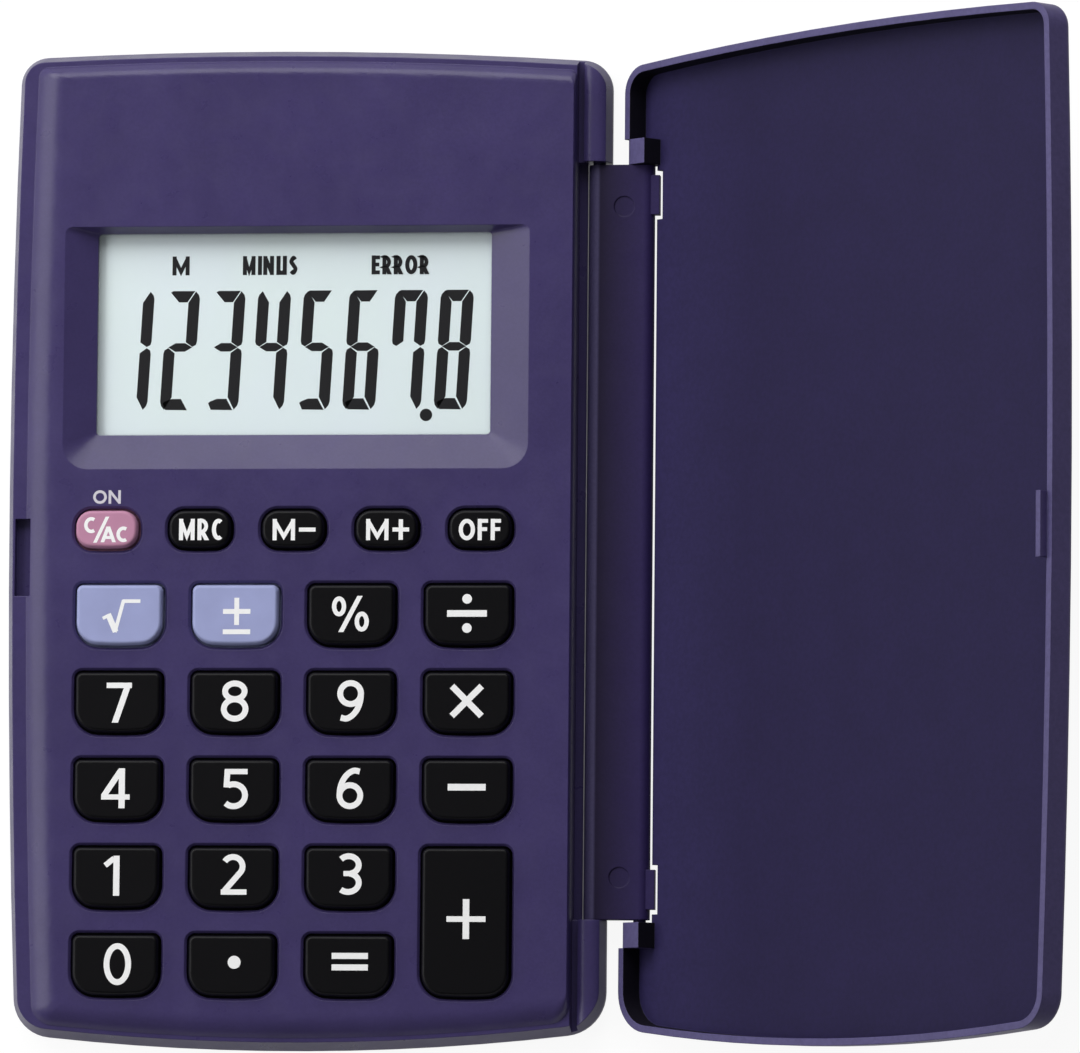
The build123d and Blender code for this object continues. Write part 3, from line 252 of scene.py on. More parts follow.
def lid_finish_painted_shade_and_light(name, lit_outside, highlight_rim, floor_near, floor_far, shaded_walls):
    """The lid: dark and matt inside, with a floor that darkens away from the hinge and inner sides painted
    nearly black as painted shade; a lighter outer surface as painted light; wall tops facing out and the
    edges painted lighter as a painted highlight.
    """
    t = Tree(name)
    tilt = math.radians(LID_TILT)
    away = Vector((math.cos(tilt), 0.0, math.sin(tilt)))
    out = Vector((-math.sin(tilt), 0.0, math.cos(tilt)))
    reaches = [away.dot(vertex.co) for vertex in NODES["lid"].data.vertices]
    heights = [out.dot(vertex.co) for vertex in NODES["lid"].data.vertices]
    near = min(reaches)
    middle = away * ((near + max(reaches)) / 2) + out * ((min(heights) + max(heights)) / 2)
    place = t.add("ShaderNodeTexCoord")
    to_middle = t.add("ShaderNodeVectorMath", operation="SUBTRACT")
    to_middle.inputs[0].default_value = middle
    t.link(place.outputs["Object"], to_middle.inputs[1])
    inward = t.dot(place.outputs["Normal"], to_middle.outputs[0])
    inner = t.ramp(inward, 0.2 * MM, 0.8 * MM, 0.0, 1.0)
    facing = t.ramp(t.dot(place.outputs["Normal"], out), 0.35, 0.85, 0.0, 1.0)
    along = t.ramp(t.dot(place.outputs["Object"], away), near + 5 * MM, near + 20 * MM, 0.0, 1.0)
    # Painted shade: inner sides that do not face out are painted nearly black. Painted light: the outer
    # surface is painted lighter, and wall tops facing out take a lighter highlight colour.
    inside = t.mix(facing, shaded_walls, t.mix(along, floor_near, floor_far))
    body = t.mix(inner, t.mix(facing, lit_outside, highlight_rim), inside)
    shade = t.ramp(t.noise(140.0, 5.0, 0.65), 0.3, 0.7, 0.93, 1.07)
    fine = t.noise(1700.0, 3.0, 0.6)
    speck = t.ramp(fine, 0.35, 0.65, 0.92, 1.08)
    spread = t.scaled(body, t.math("MULTIPLY", shade, speck))
    # Painted highlight: edges are painted toward the highlight colour, strongly on the outer surface and
    # faintly inside.
    edge_highlight_share = t.ramp(inner, 0.0, 1.0, 0.6, 0.1)
    mixed = t.mix(t.math("MULTIPLY", t.edge_share(0.0002), edge_highlight_share), spread, highlight_rim)
    rough = t.ramp(inner, 0.0, 1.0, 0.36, 0.60)
    normal = t.bump(fine, 0.6, 0.008 * MM, t.soft_normal(0.0002))
    return t.finish(t.shader(mixed, rough, normal, 0.15))


def link_finish_painted_shade_and_light(name, near, far, edge_highlight):
    """The hinge link: painted shade, darkest beside the case and easing towards the lid, with a painted
    highlight on its near edge.
    """
    t = Tree(name)
    places = [vertex.co.x for vertex in NODES["hinge_link"].data.vertices]
    place = t.add("ShaderNodeTexCoord")
    middle = (min(places) + max(places)) / 2
    across = t.math("SUBTRACT", t.dot(place.outputs["Object"], (1.0, 0.0, 0.0)), middle)
    # Painted shade: darkest beside the case, easing towards the lid.
    body = t.mix(t.ramp(across, -2.7 * MM, 2.8 * MM, 0.0, 1.0), near, far)
    # Painted highlight: a lighter band along the edge beside the case.
    highlighted = t.mix(t.ramp(across, -2.95 * MM, -3.25 * MM, 0.0, 1.0), body, edge_highlight)
    fine = t.noise(2600.0, 2.0, 0.6)
    speck = t.ramp(fine, 0.35, 0.65, 0.94, 1.06)
    rough = t.ramp(t.noise(350.0, 3.0), 0.3, 0.7, 0.46, 0.55)
    normal = t.bump(fine, 0.5, 0.006 * MM, t.soft_normal(0.00018))
    return t.finish(t.shader(t.scaled(highlighted, speck), rough, normal, 0.2))


def key_plastic(name, colour, roughness=0.38, specular=0.18):
    """Semi-gloss key plastic with very fine grain and softened edges."""
    t = Tree(name)
    cloud = t.noise(220.0, 3.0, 0.5)
    shade = t.ramp(cloud, 0.3, 0.7, 0.95, 1.05)
    fine = t.noise(4200.0, 2.0, 0.5)
    body = t.scaled(colour, shade)
    # Edges painted lighter: partly wear, partly a painted highlight.
    edge = t.edge_share(0.0002)
    rubbed_and_highlit = tuple(min(1.0, c * 1.2 + 0.003) for c in colour)
    mixed = t.mix(t.math("MULTIPLY", edge, 0.5), body, rubbed_and_highlit)
    rough = t.ramp(fine, 0.3, 0.7, roughness - 0.03, roughness + 0.05)
    normal = t.bump(fine, 0.35, 0.004 * MM, t.soft_normal(0.00022))
    return t.finish(t.shader(mixed, rough, normal, specular))


def ink(name, colour, roughness=0.5):
    """Printed ink: very slightly uneven coverage."""
    t = Tree(name)
    cover = t.ramp(t.noise(2400.0, 3.0), 0.3, 0.7, 0.96, 1.0)
    body = t.scaled(colour, cover)
    normal = t.bump(t.noise(5000.0, 2.0), 0.2, 0.003 * MM)
    return t.finish(t.shader(body, roughness, normal, 0.3))


def clear_pane(name):
    """The clear window: light passes straight through, with a thin gloss on top."""
    t = Tree(name)
    through = t.add("ShaderNodeBsdfTransparent")
    haze = t.ramp(t.noise(60.0, 2.0), 0.3, 0.7, 0.990, 1.0)
    tint = t.scaled((1.0, 1.0, 1.0), haze)
    t.link(tint, through.inputs["Color"])
    gloss = t.add("ShaderNodeBsdfGlossy")
    gloss.inputs["Roughness"].default_value = 0.06
    t.link(t.bump(t.noise(300.0, 2.0), 0.05, 0.004 * MM, t.soft_normal(0.00015)), gloss.inputs["Normal"])
    view = t.add("ShaderNodeLayerWeight")
    view.inputs["Blend"].default_value = 0.5
    glance = t.math("POWER", view.outputs["Facing"], 5.0)
    both = t.add("ShaderNodeMixShader")
    t.link(t.ramp(glance, 0.0, 1.0, 0.03, 1.0), both.inputs[0])
    t.link(through.outputs[0], both.inputs[1])
    t.link(gloss.outputs[0], both.inputs[2])
    return t.finish(both.outputs[0])


def satin_sheet(name, colour, roughness=0.45, metallic=0.0):
    """Display sheets: an even satin colour with the faint marbling of a polariser."""
    t = Tree(name)
    cloud = t.noise(70.0, 3.0, 0.5)
    cool = tuple(min(1.0, c * k) for c, k in zip(colour, (1.0, 0.985, 1.02)))
    body = t.mix(t.ramp(cloud, 0.35, 0.65, 0.0, 1.0), colour, cool)
    fine = t.ramp(t.noise(3000.0, 2.0), 0.3, 0.7, 0.985, 1.0)
    normal = t.bump(t.noise(3600.0, 2.0), 0.15, 0.002 * MM)
    return t.finish(t.shader(t.scaled(body, fine), roughness, normal, 0.25, metallic))


def metal(name, colour, roughness=0.3, turned=False):
    """Bright or plated metal with fine brushed or turned marks."""
    t = Tree(name)
    if turned:
        place = t.add("ShaderNodeTexCoord")
        wave = t.add("ShaderNodeTexWave", wave_type="BANDS", bands_direction="DIAGONAL")
        wave.inputs["Scale"].default_value = 900.0
        wave.inputs["Distortion"].default_value = 2.0
        t.link(place.outputs["Object"], wave.inputs["Vector"])
        marks = wave.outputs["Fac"]
    else:
        marks = t.noise(1500.0, 4.0, 0.7)
    shade = t.ramp(marks, 0.2, 0.8, 0.9, 1.0)
    rough = t.ramp(marks, 0.2, 0.8, roughness - 0.06, roughness + 0.08)
    normal = t.bump(marks, 0.25, 0.004 * MM, t.soft_normal(0.0001))
    return t.finish(t.shader(t.scaled(colour, shade), rough, normal, 0.5, 1.0))


def board_finish(name):
    """Board laminate under green solder resist, with a faint weave."""
    t = Tree(name)
    place = t.add("ShaderNodeTexCoord")
    weave = t.add("ShaderNodeTexWave", wave_type="BANDS", bands_direction="X")
    weave.inputs["Scale"].default_value = 700.0
    t.link(place.outputs["Object"], weave.inputs["Vector"])
    share = t.ramp(weave.outputs["Fac"], 0.0, 1.0, 0.0, 0.35)
    body = t.mix(share, (0.03, 0.11, 0.05), (0.08, 0.16, 0.05))
    normal = t.bump(weave.outputs["Fac"], 0.2, 0.01 * MM)
    rough = t.ramp(t.noise(400.0), 0.3, 0.7, 0.3, 0.42)
    return t.finish(t.shader(body, rough, normal, 0.5))


# The violet of the case, as a plain linear colour
CASE_COLOUR = (0.0485, 0.0365, 0.1220)


def make_materials():
    made = {
        "case_plastic": moulded("case_finish", CASE_COLOUR, roughness=0.31, specular=0.36),
        # The link's colours hold painted shade, darkest beside the case, and a painted highlight on its near
        # edge.
        "link_plastic": link_finish_painted_shade_and_light(
            "link_finish_painted_shade_and_light",
            near=(0.0132, 0.0083, 0.0334), far=(0.0248, 0.0158, 0.0754), edge_highlight=(0.060, 0.051, 0.120),
        ),
        # The lid's colours hold painted light: a lighter outer surface, lighter wall tops as a painted
        # highlight, and nearly black inner sides as painted shade.
        "lid_plastic": lid_finish_painted_shade_and_light(
            "lid_finish_painted_shade_and_light", lit_outside=(0.066, 0.052, 0.152), highlight_rim=(0.088, 0.076, 0.178),
            floor_near=(0.0220, 0.0165, 0.0690), floor_far=(0.0145, 0.0102, 0.0490),
            shaded_walls=(0.006, 0.005, 0.010),
        ),
        "key_black": key_plastic("black_key_finish", (0.0022, 0.0020, 0.0030)),
        "key_pink": key_plastic("pink_key_finish", (0.49, 0.235, 0.355)),
        "key_blue": key_plastic("blue_key_finish", (0.33, 0.36, 0.60)),
        "clear_plastic": clear_pane("window_finish"),
        "display_grey": satin_sheet("polariser_finish", (0.79, 0.90, 0.90)),
        "display_glass": satin_sheet("glass_finish", (0.62, 0.72, 0.70), 0.1),
        "reflector_foil": satin_sheet("foil_finish", (0.75, 0.78, 0.76), 0.35, 0.8),
        "inner_plastic": moulded("holder_finish", (0.62, 0.62, 0.60), mottle=0.03, edge_lift=0.05),
        "mat_rubber": moulded(
            "rubber_finish", (0.20, 0.21, 0.23), roughness=0.7, specular=0.3, edge_lift=0.1
        ),
        "board_laminate": board_finish("board_finish"),
        "resin": moulded(
            "resin_finish", (0.012, 0.012, 0.013), roughness=0.35, grain=900.0, edge_lift=0.1
        ),
        "ceramic": moulded("ceramic_finish", (0.38, 0.27, 0.16), roughness=0.4, edge_lift=0.1),
        "screw_steel": metal("screw_finish", (0.55, 0.55, 0.57), 0.32, turned=True),
        "cell_steel": metal("cell_finish", (0.66, 0.66, 0.66), 0.25),
        "contact_brass": metal("contact_finish", (0.74, 0.66, 0.46), 0.28),
    }
    special = {"hinge_link": "link_plastic", "lid": "lid_plastic"}
    for name, slot in SLOTS.items():
        data = NODES[name].data
        data.materials.clear()
        data.materials.append(made[special.get(name, slot)])
    made["white_ink"] = ink("white_ink", (0.93, 0.93, 0.93))
    made["grey_ink"] = ink("grey_ink", (0.62, 0.60, 0.66))
    made["display_ink"] = ink("display_ink", (0.004, 0.004, 0.006), 0.6)
    return made


# ---------------------------------------------------------------- strokes and glyphs

def arc(cx, cy, rx, ry, start, end, steps=22):
    """Points along an ellipse, from one angle in degrees to another."""
    points = []
    for index in range(steps + 1):
        angle = math.radians(start + (end - start) * index / steps)
        points.append((cx + rx * math.cos(angle), cy + ry * math.sin(angle)))
    return points


def smooth(points, steps=8):
    """A smooth line through a few points."""
    line = []
    for index in range(len(points) - 1):
        before = points[max(index - 1, 0)]
        first, second = points[index], points[index + 1]
        after = points[min(index + 2, len(points) - 1)]
        for step in range(steps):
            s = step / steps
            line.append(tuple(
                0.5 * (2 * b + (c - a) * s + (2 * a - 5 * b + 4 * c - d) * s * s
                       + (3 * b - a - 3 * c + d) * s ** 3)
                for a, b, c, d in zip(before, first, second, after)
            ))
    line.append(points[-1])
    return line


def ribbon(path, width, closed=False, flat_ends=False):
    """Both sides of a flat stroke along a path, as pairs of points."""
    points = [Vector(p) for p in path]
    count = len(points)
    pairs = []
    for index in range(count):
        if closed:
            before, after = points[index - 1], points[(index + 1) % count]
        else:
            before, after = points[max(index - 1, 0)], points[min(index + 1, count - 1)]
        here = points[index]
        into = (here - before).normalized() if (here - before).length else (after - here).normalized()
        out = (after - here).normalized() if (after - here).length else into
        side = Vector((-(into.y + out.y), into.x + out.x)).normalized()
        reach = width / 2 / max(side.dot(Vector((-into.y, into.x))), 0.4)
        if flat_ends and not closed and index in (0, count - 1) and abs(out.y) > 0.3:
            side = Vector((math.copysign(1.0, side.x), 0.0))
            reach = width / 2 / abs(out.y)
        pairs.append((here + side * reach, here - side * reach))
    return pairs


class Print:
    """A flat printed mark made of overlapping strokes, each at its own height."""

    def __init__(self):
        self.mesh = bmesh.new()
        self.level = 0.0

    def face(self, corners):
        self.mesh.faces.new([self.mesh.verts.new((x * MM, y * MM, self.level * MM)) for x, y in corners])

    def stroke(self, path, width, closed=False, flat_ends=False):
        pairs = ribbon(path, width, closed, flat_ends)
        add = self.mesh.verts.new
        verts = [[add((p.x * MM, p.y * MM, self.level * MM)) for p in pair] for pair in pairs]
        spans = len(verts) if closed else len(verts) - 1
        for index in range(spans):
            a, b = verts[index], verts[(index + 1) % len(verts)]
            self.mesh.faces.new((a[0], a[1], b[1], b[0]))
        self.level += INK_STEP

    def shape(self, corners):
        self.face(corners)
        self.level += INK_STEP

    def dot(self, x, y, radius):
        self.shape(arc(x, y, radius, radius, 0, 348.75, 31))

    def make(self, name, place, material, body, slot):
        bmesh.ops.recalc_face_normals(self.mesh, faces=self.mesh.faces)
        for face in self.mesh.faces:
            face.normal_update()
            if face.normal.z < 0:
                face.normal_flip()
        data = bpy.data.meshes.new(name)
        self.mesh.to_mesh(data)
        self.mesh.free()
        data.transform(Matrix.Translation(Vector(place)))
        data.materials.append(material)
        piece = bpy.data.objects.new(name, data)
        bpy.context.scene.collection.objects.link(piece)
        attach(piece, body)


def draw_digit(mark, digit, width=DIGIT_STROKE):
    """One digit about 5 mm tall, centred on the origin, in millimetres."""
    if digit == "0":
        mark.stroke(arc(0, 0, 1.38, 2.27, 0, 351, 39), width, closed=True)
    elif digit == "1":
        mark.stroke([(0.22, 2.52), (0.22, -2.52)], width + 0.05)
        mark.stroke([(-1.22, 1.28), (-0.1, 2.2)], width * 0.92)
    elif digit == "2":
        top = arc(-0.14, 1.02, 1.22, 1.20, 148, -32)
        mark.stroke(top + [(-1.22, -2.05)], width)
        mark.stroke([(-1.66, -2.19), (1.62, -2.19)], width * 0.92)
    elif digit == "3":
        mark.stroke(arc(-0.2, 1.16, 1.27, 1.10, 140, -80), width)
        mark.stroke([(-0.86, 0.08), (0.1, 0.08)], width * 0.88)
        mark.stroke(arc(-0.26, -1.07, 1.36, 1.16, 82, -132), width)
    elif digit == "4":
        mark.stroke([(0.46, 2.25), (-1.72, -1.0)], width)
        mark.stroke([(-2.02, -1.1), (1.62, -1.1)], width * 0.88)
        mark.stroke([(0.6, 2.52), (0.6, -2.52)], width + 0.05)
    elif digit == "5":
        mark.stroke([(-1.35, 2.19), (1.55, 2.19)], width * 0.9)
        mark.stroke([(-1.0, 2.4), (-1.12, 0.2)], width)
        mark.stroke(arc(-0.2, -0.79, 1.46, 1.39, 118, -134), width)
    elif digit in "69":
        bowl = arc(0.0, -0.95, 1.32, 1.32, 0, 351, 39)
        stem = smooth([
            (1.22, 2.08), (0.5, 2.2), (-0.25, 1.8), (-0.85, 1.05), (-1.22, 0.05), (-1.32, -0.95),
        ])
        turn = 1 if digit == "6" else -1
        mark.stroke([(x * turn, y * turn) for x, y in bowl], width, closed=True)
        mark.stroke([(x * turn, y * turn) for x, y in stem], width)
    elif digit == "7":
        mark.stroke([(-1.62, 2.19), (1.60, 2.19)], width * 0.92)
        mark.stroke([(1.17, 2.4), (-0.52, -2.52)], width * 1.04, flat_ends=True)
    elif digit == "8":
        mark.stroke(arc(0, 1.22, 1.24, 0.99, 0, 351, 39), width, closed=True)
        mark.stroke(arc(0, -1.02, 1.38, 1.22, 0, 351, 39), width, closed=True)


def draw_sign(mark, sign, width=SIGN_STROKE):
    """One operator sign, centred on the origin, in millimetres."""
    if sign == "plus":
        mark.stroke([(-2.47, 0), (2.47, 0)], 0.70)
        mark.stroke([(0, -2.5), (0, 2.5)], 0.82)
    elif sign == "minus":
        mark.stroke([(-2.4, 0), (2.4, 0)], width * 1.05)
    elif sign == "multiply":
        mark.stroke([(-1.88, -1.88), (1.88, 1.88)], width)
        mark.stroke([(-1.88, 1.88), (1.88, -1.88)], width)
    elif sign == "divide":
        mark.stroke([(-2.52, 0), (2.52, 0)], width * 1.03)
        mark.dot(0, 1.84, 0.61)
        mark.dot(0, -1.84, 0.61)
    elif sign == "equals":
        mark.stroke([(-2.3, 0.72), (2.3, 0.72)], width * 0.95)
        mark.stroke([(-2.3, -0.72), (2.3, -0.72)], width * 0.95)
    elif sign == "point":
        mark.dot(0, 0, 0.82)
    elif sign == "percent":
        mark.stroke(arc(-1.45, 0.96, 0.62, 0.98, 0, 350, 35), 0.56, closed=True)
        mark.stroke(arc(1.45, -0.96, 0.62, 0.98, 0, 350, 35), 0.56, closed=True)
        mark.stroke([(1.2, 2.28), (-1.2, -2.28)], 0.58, flat_ends=True)
    elif sign == "square_root":
        mark.stroke([(-2.3, -0.25), (-1.5, 0.15)], 0.42)
        mark.stroke([(-1.62, 0.3), (-0.62, -1.95)], 0.74)
        mark.stroke([(-0.72, -2.0), (0.35, 2.05)], 0.46)
        mark.stroke([(0.22, 1.93), (2.5, 1.93)], 0.46)
    elif sign == "change_sign":
        mark.stroke([(-1.75, 0.62), (1.75, 0.62)], 0.62)
        mark.stroke([(0, 2.35), (0, -1.1)], 0.62)
        mark.stroke([(-1.75, -1.95), (1.75, -1.95)], 0.62)


def draw_letter(mark, letter, x, y, w, h, t):
    """One capital in the box from (x, y), w wide and h tall, with strokes t wide."""
    left, right = x + t / 2, x + w - t / 2
    low, high = y + t / 2, y + h - t / 2
    mid_x, mid_y = x + w / 2, y + h / 2
    rx, ry = (right - left) / 2, (high - low) / 2
    if letter in "MNRFEUI":
        mark.stroke([(left, y), (left, y + h)], t)
    if letter in "MNU":
        mark.stroke([(right, y), (right, y + h)], t)
    if letter == "M":
        mark.stroke([(left, high), (mid_x, y + 0.18 * h), (right, high)], t * 0.92)
    elif letter == "N":
        mark.stroke([(left, y + h - t / 3), (right, y + t / 3)], t * 0.95)
    elif letter == "U":
        mark.stroke(arc(mid_x, low + rx, rx, rx, 180, 360), t)
    elif letter == "O":
        mark.stroke(arc(mid_x, mid_y, rx, ry, 0, 350, 35), t, closed=True)
    elif letter == "C":
        mark.stroke(arc(mid_x + 0.1 * w, mid_y, rx * 1.12, ry, 58, 302), t)
    elif letter == "R":
        half = h * 0.27
        bowl_y = y + h - t / 2 - half + t * 0.1
        bowl = arc(right - half, bowl_y, half * 0.95, half, 90, -90)
        mark.stroke([(left, bowl_y + half)] + bowl + [(left, bowl_y - half)], t * 0.92)
        mark.stroke([(mid_x - 0.05 * w, bowl_y - half), (right + t * 0.12, y)], t, flat_ends=True)
    elif letter == "A":
        mark.stroke([(left - t * 0.1, y), (mid_x, y + h)], t, flat_ends=True)
        mark.stroke([(right + t * 0.1, y), (mid_x, y + h)], t, flat_ends=True)
        mark.stroke([(left + 0.14 * w, y + 0.3 * h), (right - 0.14 * w, y + 0.3 * h)], t * 0.85)
    elif letter == "S":
        curve = smooth([
            (right - 0.06 * w, high - 0.1 * h), (mid_x, high), (left, high - 0.2 * h),
            (mid_x, mid_y + 0.01 * h), (right, low + 0.2 * h), (mid_x, low), (left, low + 0.1 * h),
        ])
        mark.stroke(curve, t)
    if letter in "FE":
        mark.stroke([(left, high), (x + w, high)], t * 0.92)
        mark.stroke([(left, mid_y + 0.02 * h), (x + w * 0.92, mid_y + 0.02 * h)], t * 0.92)
    if letter == "E":
        mark.stroke([(left, low), (x + w, low)], t * 0.92)


LETTER_WIDTHS = {"M": 0.80, "N": 0.68, "R": 0.56, "C": 0.62, "O": 0.76, "F": 0.48, "E": 0.52,
                 "A": 0.70, "S": 0.52, "U": 0.66, "I": 0.18}


def draw_word(mark, word, cx, cy, width, h, t):
    """A word of capitals fitted to a width and centred on a point."""
    natural = [LETTER_WIDTHS[c] * h for c in word]
    gap = 0.13 * h
    scale = (width - gap * (len(word) - 1)) / sum(natural)
    x = cx - width / 2
    for letter, w in zip(word, natural):
        draw_letter(mark, letter, x, cy - h / 2, max(w * scale, t), h, t)
        x += w * scale + gap


# ---------------------------------------------------------------- key legends

# Where each legend sits against the middle of its key, in millimetres
SHIFTS = {
    "7": (0.19, -0.05), "8": (0.13, 0.18), "9": (0.05, 0.17), "multiply": (-0.02, 0.19),
    "4": (0.06, 0.19), "5": (0.32, 0.13), "6": (0.09, 0.26), "minus": (0.08, 0.40),
    "1": (-0.11, 0.21), "2": (0.29, 0.39), "3": (0.24, 0.49), "plus": (0.14, 0.43),
    "0": (0.38, 0.13), "point": (0.44, 0.42), "equals": (0.30, 0.56),
    "percent": (-0.08, 0.11), "divide": (-0.09, 0.17),
    "square_root": (0.25, -0.18), "change_sign": (0.25, -0.18),
    "memory_recall": (0.24, -0.05), "memory_minus": (0.21, -0.09), "memory_plus": (0.21, -0.10),
    "off": (0.0, -0.12), "clear": (-0.04, -0.05),
}


def key_middle(name):
    """The middle of a key and the height of its top."""
    low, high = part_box(name)
    return (low.x + high.x) / 2, (low.y + high.y) / 2, high.z


def legend(name, mark, white):
    x, y, top = key_middle("key_" + name)
    right, up = SHIFTS[name]
    place = (x + right * MM, y + up * MM, top + INK_LIFT * MM)
    mark.make("legend_" + name, place, white, "key_" + name, SLOTS["key_" + name])


def make_legends(white):
    for digit in "0123456789":
        mark = Print()
        draw_digit(mark, digit)
        legend(digit, mark, white)
    for sign in ("percent", "divide", "multiply", "minus", "point", "equals", "plus",
                 "square_root", "change_sign"):
        mark = Print()
        draw_sign(mark, sign)
        legend(sign, mark, white)
    mark = Print()
    draw_word(mark, "MRC", 0, 0, 5.65, 2.7, SMALL_STROKE)
    legend("memory_recall", mark, white)
    for name in ("minus", "plus"):
        mark = Print()
        draw_letter(mark, "M", -2.75, -1.35, 2.85, 2.7, SMALL_STROKE)
        mark.stroke([(0.6, 0), (2.72, 0)], SMALL_STROKE)
        if name == "plus":
            mark.stroke([(1.66, -1.3), (1.66, 1.3)], SMALL_STROKE * 1.05)
        legend("memory_" + name, mark, white)
    mark = Print()
    draw_word(mark, "OFF", 0, 0, 5.35, 2.7, SMALL_STROKE)
    legend("off", mark, white)
    mark = Print()
    draw_letter(mark, "C", -2.9, -0.45, 1.7, 2.05, 0.45)
    mark.stroke([(0.18, 1.65), (-1.4, -1.65)], 0.42, flat_ends=True)
    draw_letter(mark, "A", -0.62, -1.6, 1.85, 2.0, 0.45)
    draw_letter(mark, "C", 1.25, -1.6, 1.65, 2.0, 0.45)
    legend("clear", mark, white)


def make_on_print(ink_material):
    """The small word printed on the face above the first key."""
    mark = Print()
    draw_word(mark, "ON", 0, 0, 3.55, 1.72, PRINT_STROKE)
    place = (ON_MIDDLE[0] * MM, ON_MIDDLE[1] * MM, (FACE_TOP + INK_LIFT) * MM)
    mark.make("print_on", place, ink_material, "case", "case_plastic")


# ---------------------------------------------------------------- display

DISPLAY_RIGHT = 20.72
DISPLAY_PITCH = 5.84
DISPLAY_BOTTOM = 17.53
DISPLAY_HEIGHT = 15.2
SEGMENT_THICKNESS = 1.44
CELL_WIDTH = 4.22
SHEET_LIFT = 0.02
SHEET_INSET = 0.02
SHEET_CORNER = 0.5
SLANT = math.tan(math.radians(3.2))

SEGMENTS_OF = {
    "1": "bc", "2": "abged", "3": "abgcd", "4": "fgbc",
    "5": "afgcd", "6": "afgedc", "7": "fabc", "8": "abcdefg",
}


def segment_outline(name):
    """One display segment as corners, before the slant."""
    w, h, t = CELL_WIDTH, DISPLAY_HEIGHT, SEGMENT_THICKNESS
    mid = h * 0.527
    gap = 0.07
    upright = [
        (w - 0.58, mid + gap), (w - 0.12, mid + 0.32), (w, mid + 0.75), (w, h - 1.0),
        (w - 0.14, h - 0.52), (w - 0.55, h - 0.06), (w - t, h - t - 0.05), (w - t, mid + 0.66),
    ]
    bar = [(0.46, h - 0.18), (0.76, h), (w - 0.66, h), (w - t - 0.12, h - t), (t + 0.14, h - t)]
    middle = [(0.58, mid), (t + 0.05, mid + 0.54), (w - t - 0.05, mid + 0.54), (w - 0.58, mid),
              (w - t - 0.05, mid - 0.54), (t + 0.05, mid - 0.54)]

    def lower(points):
        return [(x, mid - (y - mid) * mid / (h - mid)) for x, y in points]

    def mirrored(points):
        return [(w - x, y) for x, y in points]

    return {
        "a": bar, "b": upright, "c": lower(upright), "g": middle,
        "d": [(0.32, t * 0.62), (0.72, 0.05), (w - 0.72, 0.0), (w - t - 0.14, t),
              (t, t), (0.6, t * 0.78)],
        "e": mirrored(lower(upright)), "f": mirrored(upright),
    }[name]


def rounded(half_x, half_y, radius):
    """A rectangle with rounded corners, centred on the origin."""
    corners = []
    for quarter, (right, up) in enumerate(((1, 1), (-1, 1), (-1, -1), (1, -1))):
        start = 90 * quarter
        x, y = right * (half_x - radius), up * (half_y - radius)
        corners += arc(x, y, radius, radius, start, start + 90, 8)
    return corners


def make_display_sheet(satin):
    """The satin face of the display, laid just over the front polariser, inside the window."""
    low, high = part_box("display_front_polariser")
    sheet = Print()
    half_x = (high.x - low.x) / 2 / MM - SHEET_INSET
    half_y = (high.y - low.y) / 2 / MM - SHEET_INSET
    sheet.shape(rounded(half_x, half_y, SHEET_CORNER))
    place = ((low.x + high.x) / 2, (low.y + high.y) / 2, high.z + SHEET_LIFT * MM)
    sheet.make("display_sheet", place, satin, "case", "display_grey")
    return place[2]


def make_display(dark, sheet_level):
    """The segments and the small words of the display, just above its satin face."""
    level = sheet_level + INK_LIFT * MM
    mid = DISPLAY_HEIGHT * 0.527
    mark = Print()
    for index, digit in enumerate("12345678"):
        left = DISPLAY_RIGHT - (7 - index) * DISPLAY_PITCH - CELL_WIDTH
        for name in SEGMENTS_OF[digit]:
            corners = [
                (left + x + (y - mid) * SLANT, DISPLAY_BOTTOM + y) for x, y in segment_outline(name)
            ]
            mark.face(corners)
    mark.level += INK_STEP
    mark.dot(15.12, 16.84, 0.79)
    mark.make("display_digits", (0, 0, level), dark, "case", "display_grey")
    words = Print()
    draw_word(words, "M", -16.44, 35.95, 2.2, 2.42, DISPLAY_STROKE)
    draw_word(words, "MINUS", -5.0, 35.95, 7.0, 2.42, DISPLAY_STROKE)
    draw_word(words, "ERROR", 11.64, 35.95, 7.3, 2.42, DISPLAY_STROKE)
    words.make("display_words", (0, 0, level), dark, "case", "display_grey")


# ---------------------------------------------------------------- studio

def make_floor():
    mesh = bmesh.new()
    bmesh.ops.create_grid(mesh, x_segments=1, y_segments=1, size=4.0)
    data = bpy.data.meshes.new("floor")
    mesh.to_mesh(data)
    mesh.free()
    floor = bpy.data.objects.new("floor", data)
    floor.location = (0, 0, -FLOOR_DROP * MM)
    bpy.context.scene.collection.objects.link(floor)
    t = Tree("floor_white")
    paper = t.add("ShaderNodeBsdfDiffuse")
    mottle = t.ramp(t.noise(4.0, 2.0), 0.3, 0.7, 0.98, 1.0)
    t.link(t.scaled((0.62, 0.62, 0.62), mottle), paper.inputs["Color"])
    bright = t.add("ShaderNodeEmission")
    bright.inputs["Color"].default_value = (1.0, 1.0, 1.0, 1.0)
    bright.inputs["Strength"].default_value = FLOOR_GLOW
    rays = t.add("ShaderNodeLightPath")
    mirrored = t.math("MAXIMUM", rays.outputs["Is Glossy Ray"], rays.outputs["Is Transmission Ray"])
    seen = t.math("MULTIPLY", rays.outputs["Is Camera Ray"], FLOOR_SEEN)
    both = t.add("ShaderNodeMixShader")
    t.link(t.math("MAXIMUM", seen, t.math("MULTIPLY", mirrored, FLOOR_MIRRORED)), both.inputs[0])
    t.link(paper.outputs[0], both.inputs[1])
    t.link(bright.outputs[0], both.inputs[2])
    data.materials.append(t.finish(both.outputs[0]))


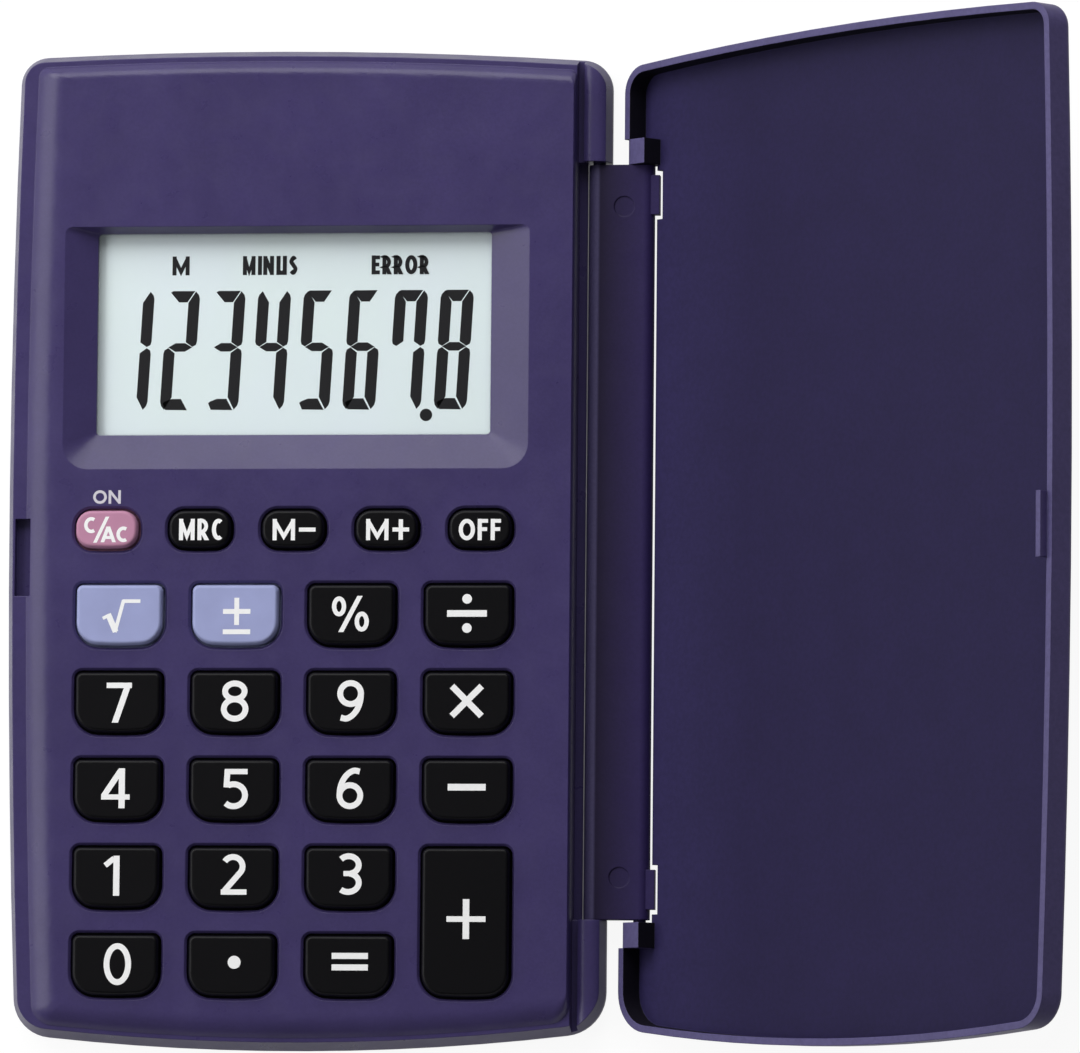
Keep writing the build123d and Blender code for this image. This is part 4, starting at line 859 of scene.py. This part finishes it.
def make_world():
    """Even fill light; mirrored rays see a white surround under a dim ceiling, the camera sees white."""
    world = bpy.data.worlds.new("studio")
    bpy.context.scene.world = world
    world.use_nodes = True
    nodes = world.node_tree.nodes
    link = world.node_tree.links.new
    nodes.clear()

    def background(strength):
        node = nodes.new("ShaderNodeBackground")
        node.inputs["Color"].default_value = (1.0, 1.0, 1.0, 1.0)
        node.inputs["Strength"].default_value = strength
        return node

    def choose(share, first, second):
        node = nodes.new("ShaderNodeMixShader")
        link(share, node.inputs[0])
        link(first, node.inputs[1])
        link(second, node.inputs[2])
        return node.outputs[0]

    rays = nodes.new("ShaderNodeLightPath")
    place = nodes.new("ShaderNodeTexCoord")
    split = nodes.new("ShaderNodeSeparateXYZ")
    link(place.outputs["Generated"], split.inputs[0])
    height = nodes.new("ShaderNodeMapRange")
    height.inputs["From Min"].default_value = 0.18
    height.inputs["From Max"].default_value = 0.28
    height.inputs["To Min"].default_value = 1.0
    height.inputs["To Max"].default_value = CEILING_LIGHT
    link(split.outputs[2], height.inputs["Value"])
    room = background(1.0)
    link(height.outputs["Result"], room.inputs["Strength"])
    mirrored = nodes.new("ShaderNodeMath")
    mirrored.operation = "MAXIMUM"
    link(rays.outputs["Is Glossy Ray"], mirrored.inputs[0])
    link(rays.outputs["Is Transmission Ray"], mirrored.inputs[1])
    unseen = choose(mirrored.outputs[0], background(FILL_LIGHT).outputs[0], room.outputs[0])
    output = nodes.new("ShaderNodeOutputWorld")
    link(choose(rays.outputs["Is Camera Ray"], unseen, background(1.0).outputs[0]), output.inputs["Surface"])


def area_light(name, direction, size, radiance):
    """A square soft light aimed at the object, by the brightness of its face."""
    data = bpy.data.lights.new(name, "AREA")
    data.shape = "SQUARE"
    data.size = size
    data.energy = radiance * math.pi * size * size
    light = bpy.data.objects.new(name, data)
    toward = Vector(direction).normalized()
    light.location = toward * LIGHT_DISTANCE
    light.rotation_mode = "QUATERNION"
    light.rotation_quaternion = toward.to_track_quat("Z", "Y")
    bpy.context.scene.collection.objects.link(light)


def make_studio():
    make_floor()
    make_world()
    area_light("top_softbox", (0.0, 0.80, 0.60), SOFTBOX_WIDTH, 3.5)
    area_light("left_softbox", (-0.80, 0.05, 0.60), SOFTBOX_WIDTH, 2.5)
    area_light("corner_softbox", (-0.57, 0.57, 0.60), CORNER_WIDTH, 6.0)
    bpy.context.scene.view_settings.view_transform = "Standard"


make_camera()
materials = make_materials()
make_legends(materials["white_ink"])
make_on_print(materials["grey_ink"])
make_display(materials["display_ink"], make_display_sheet(materials["display_grey"]))
make_studio()
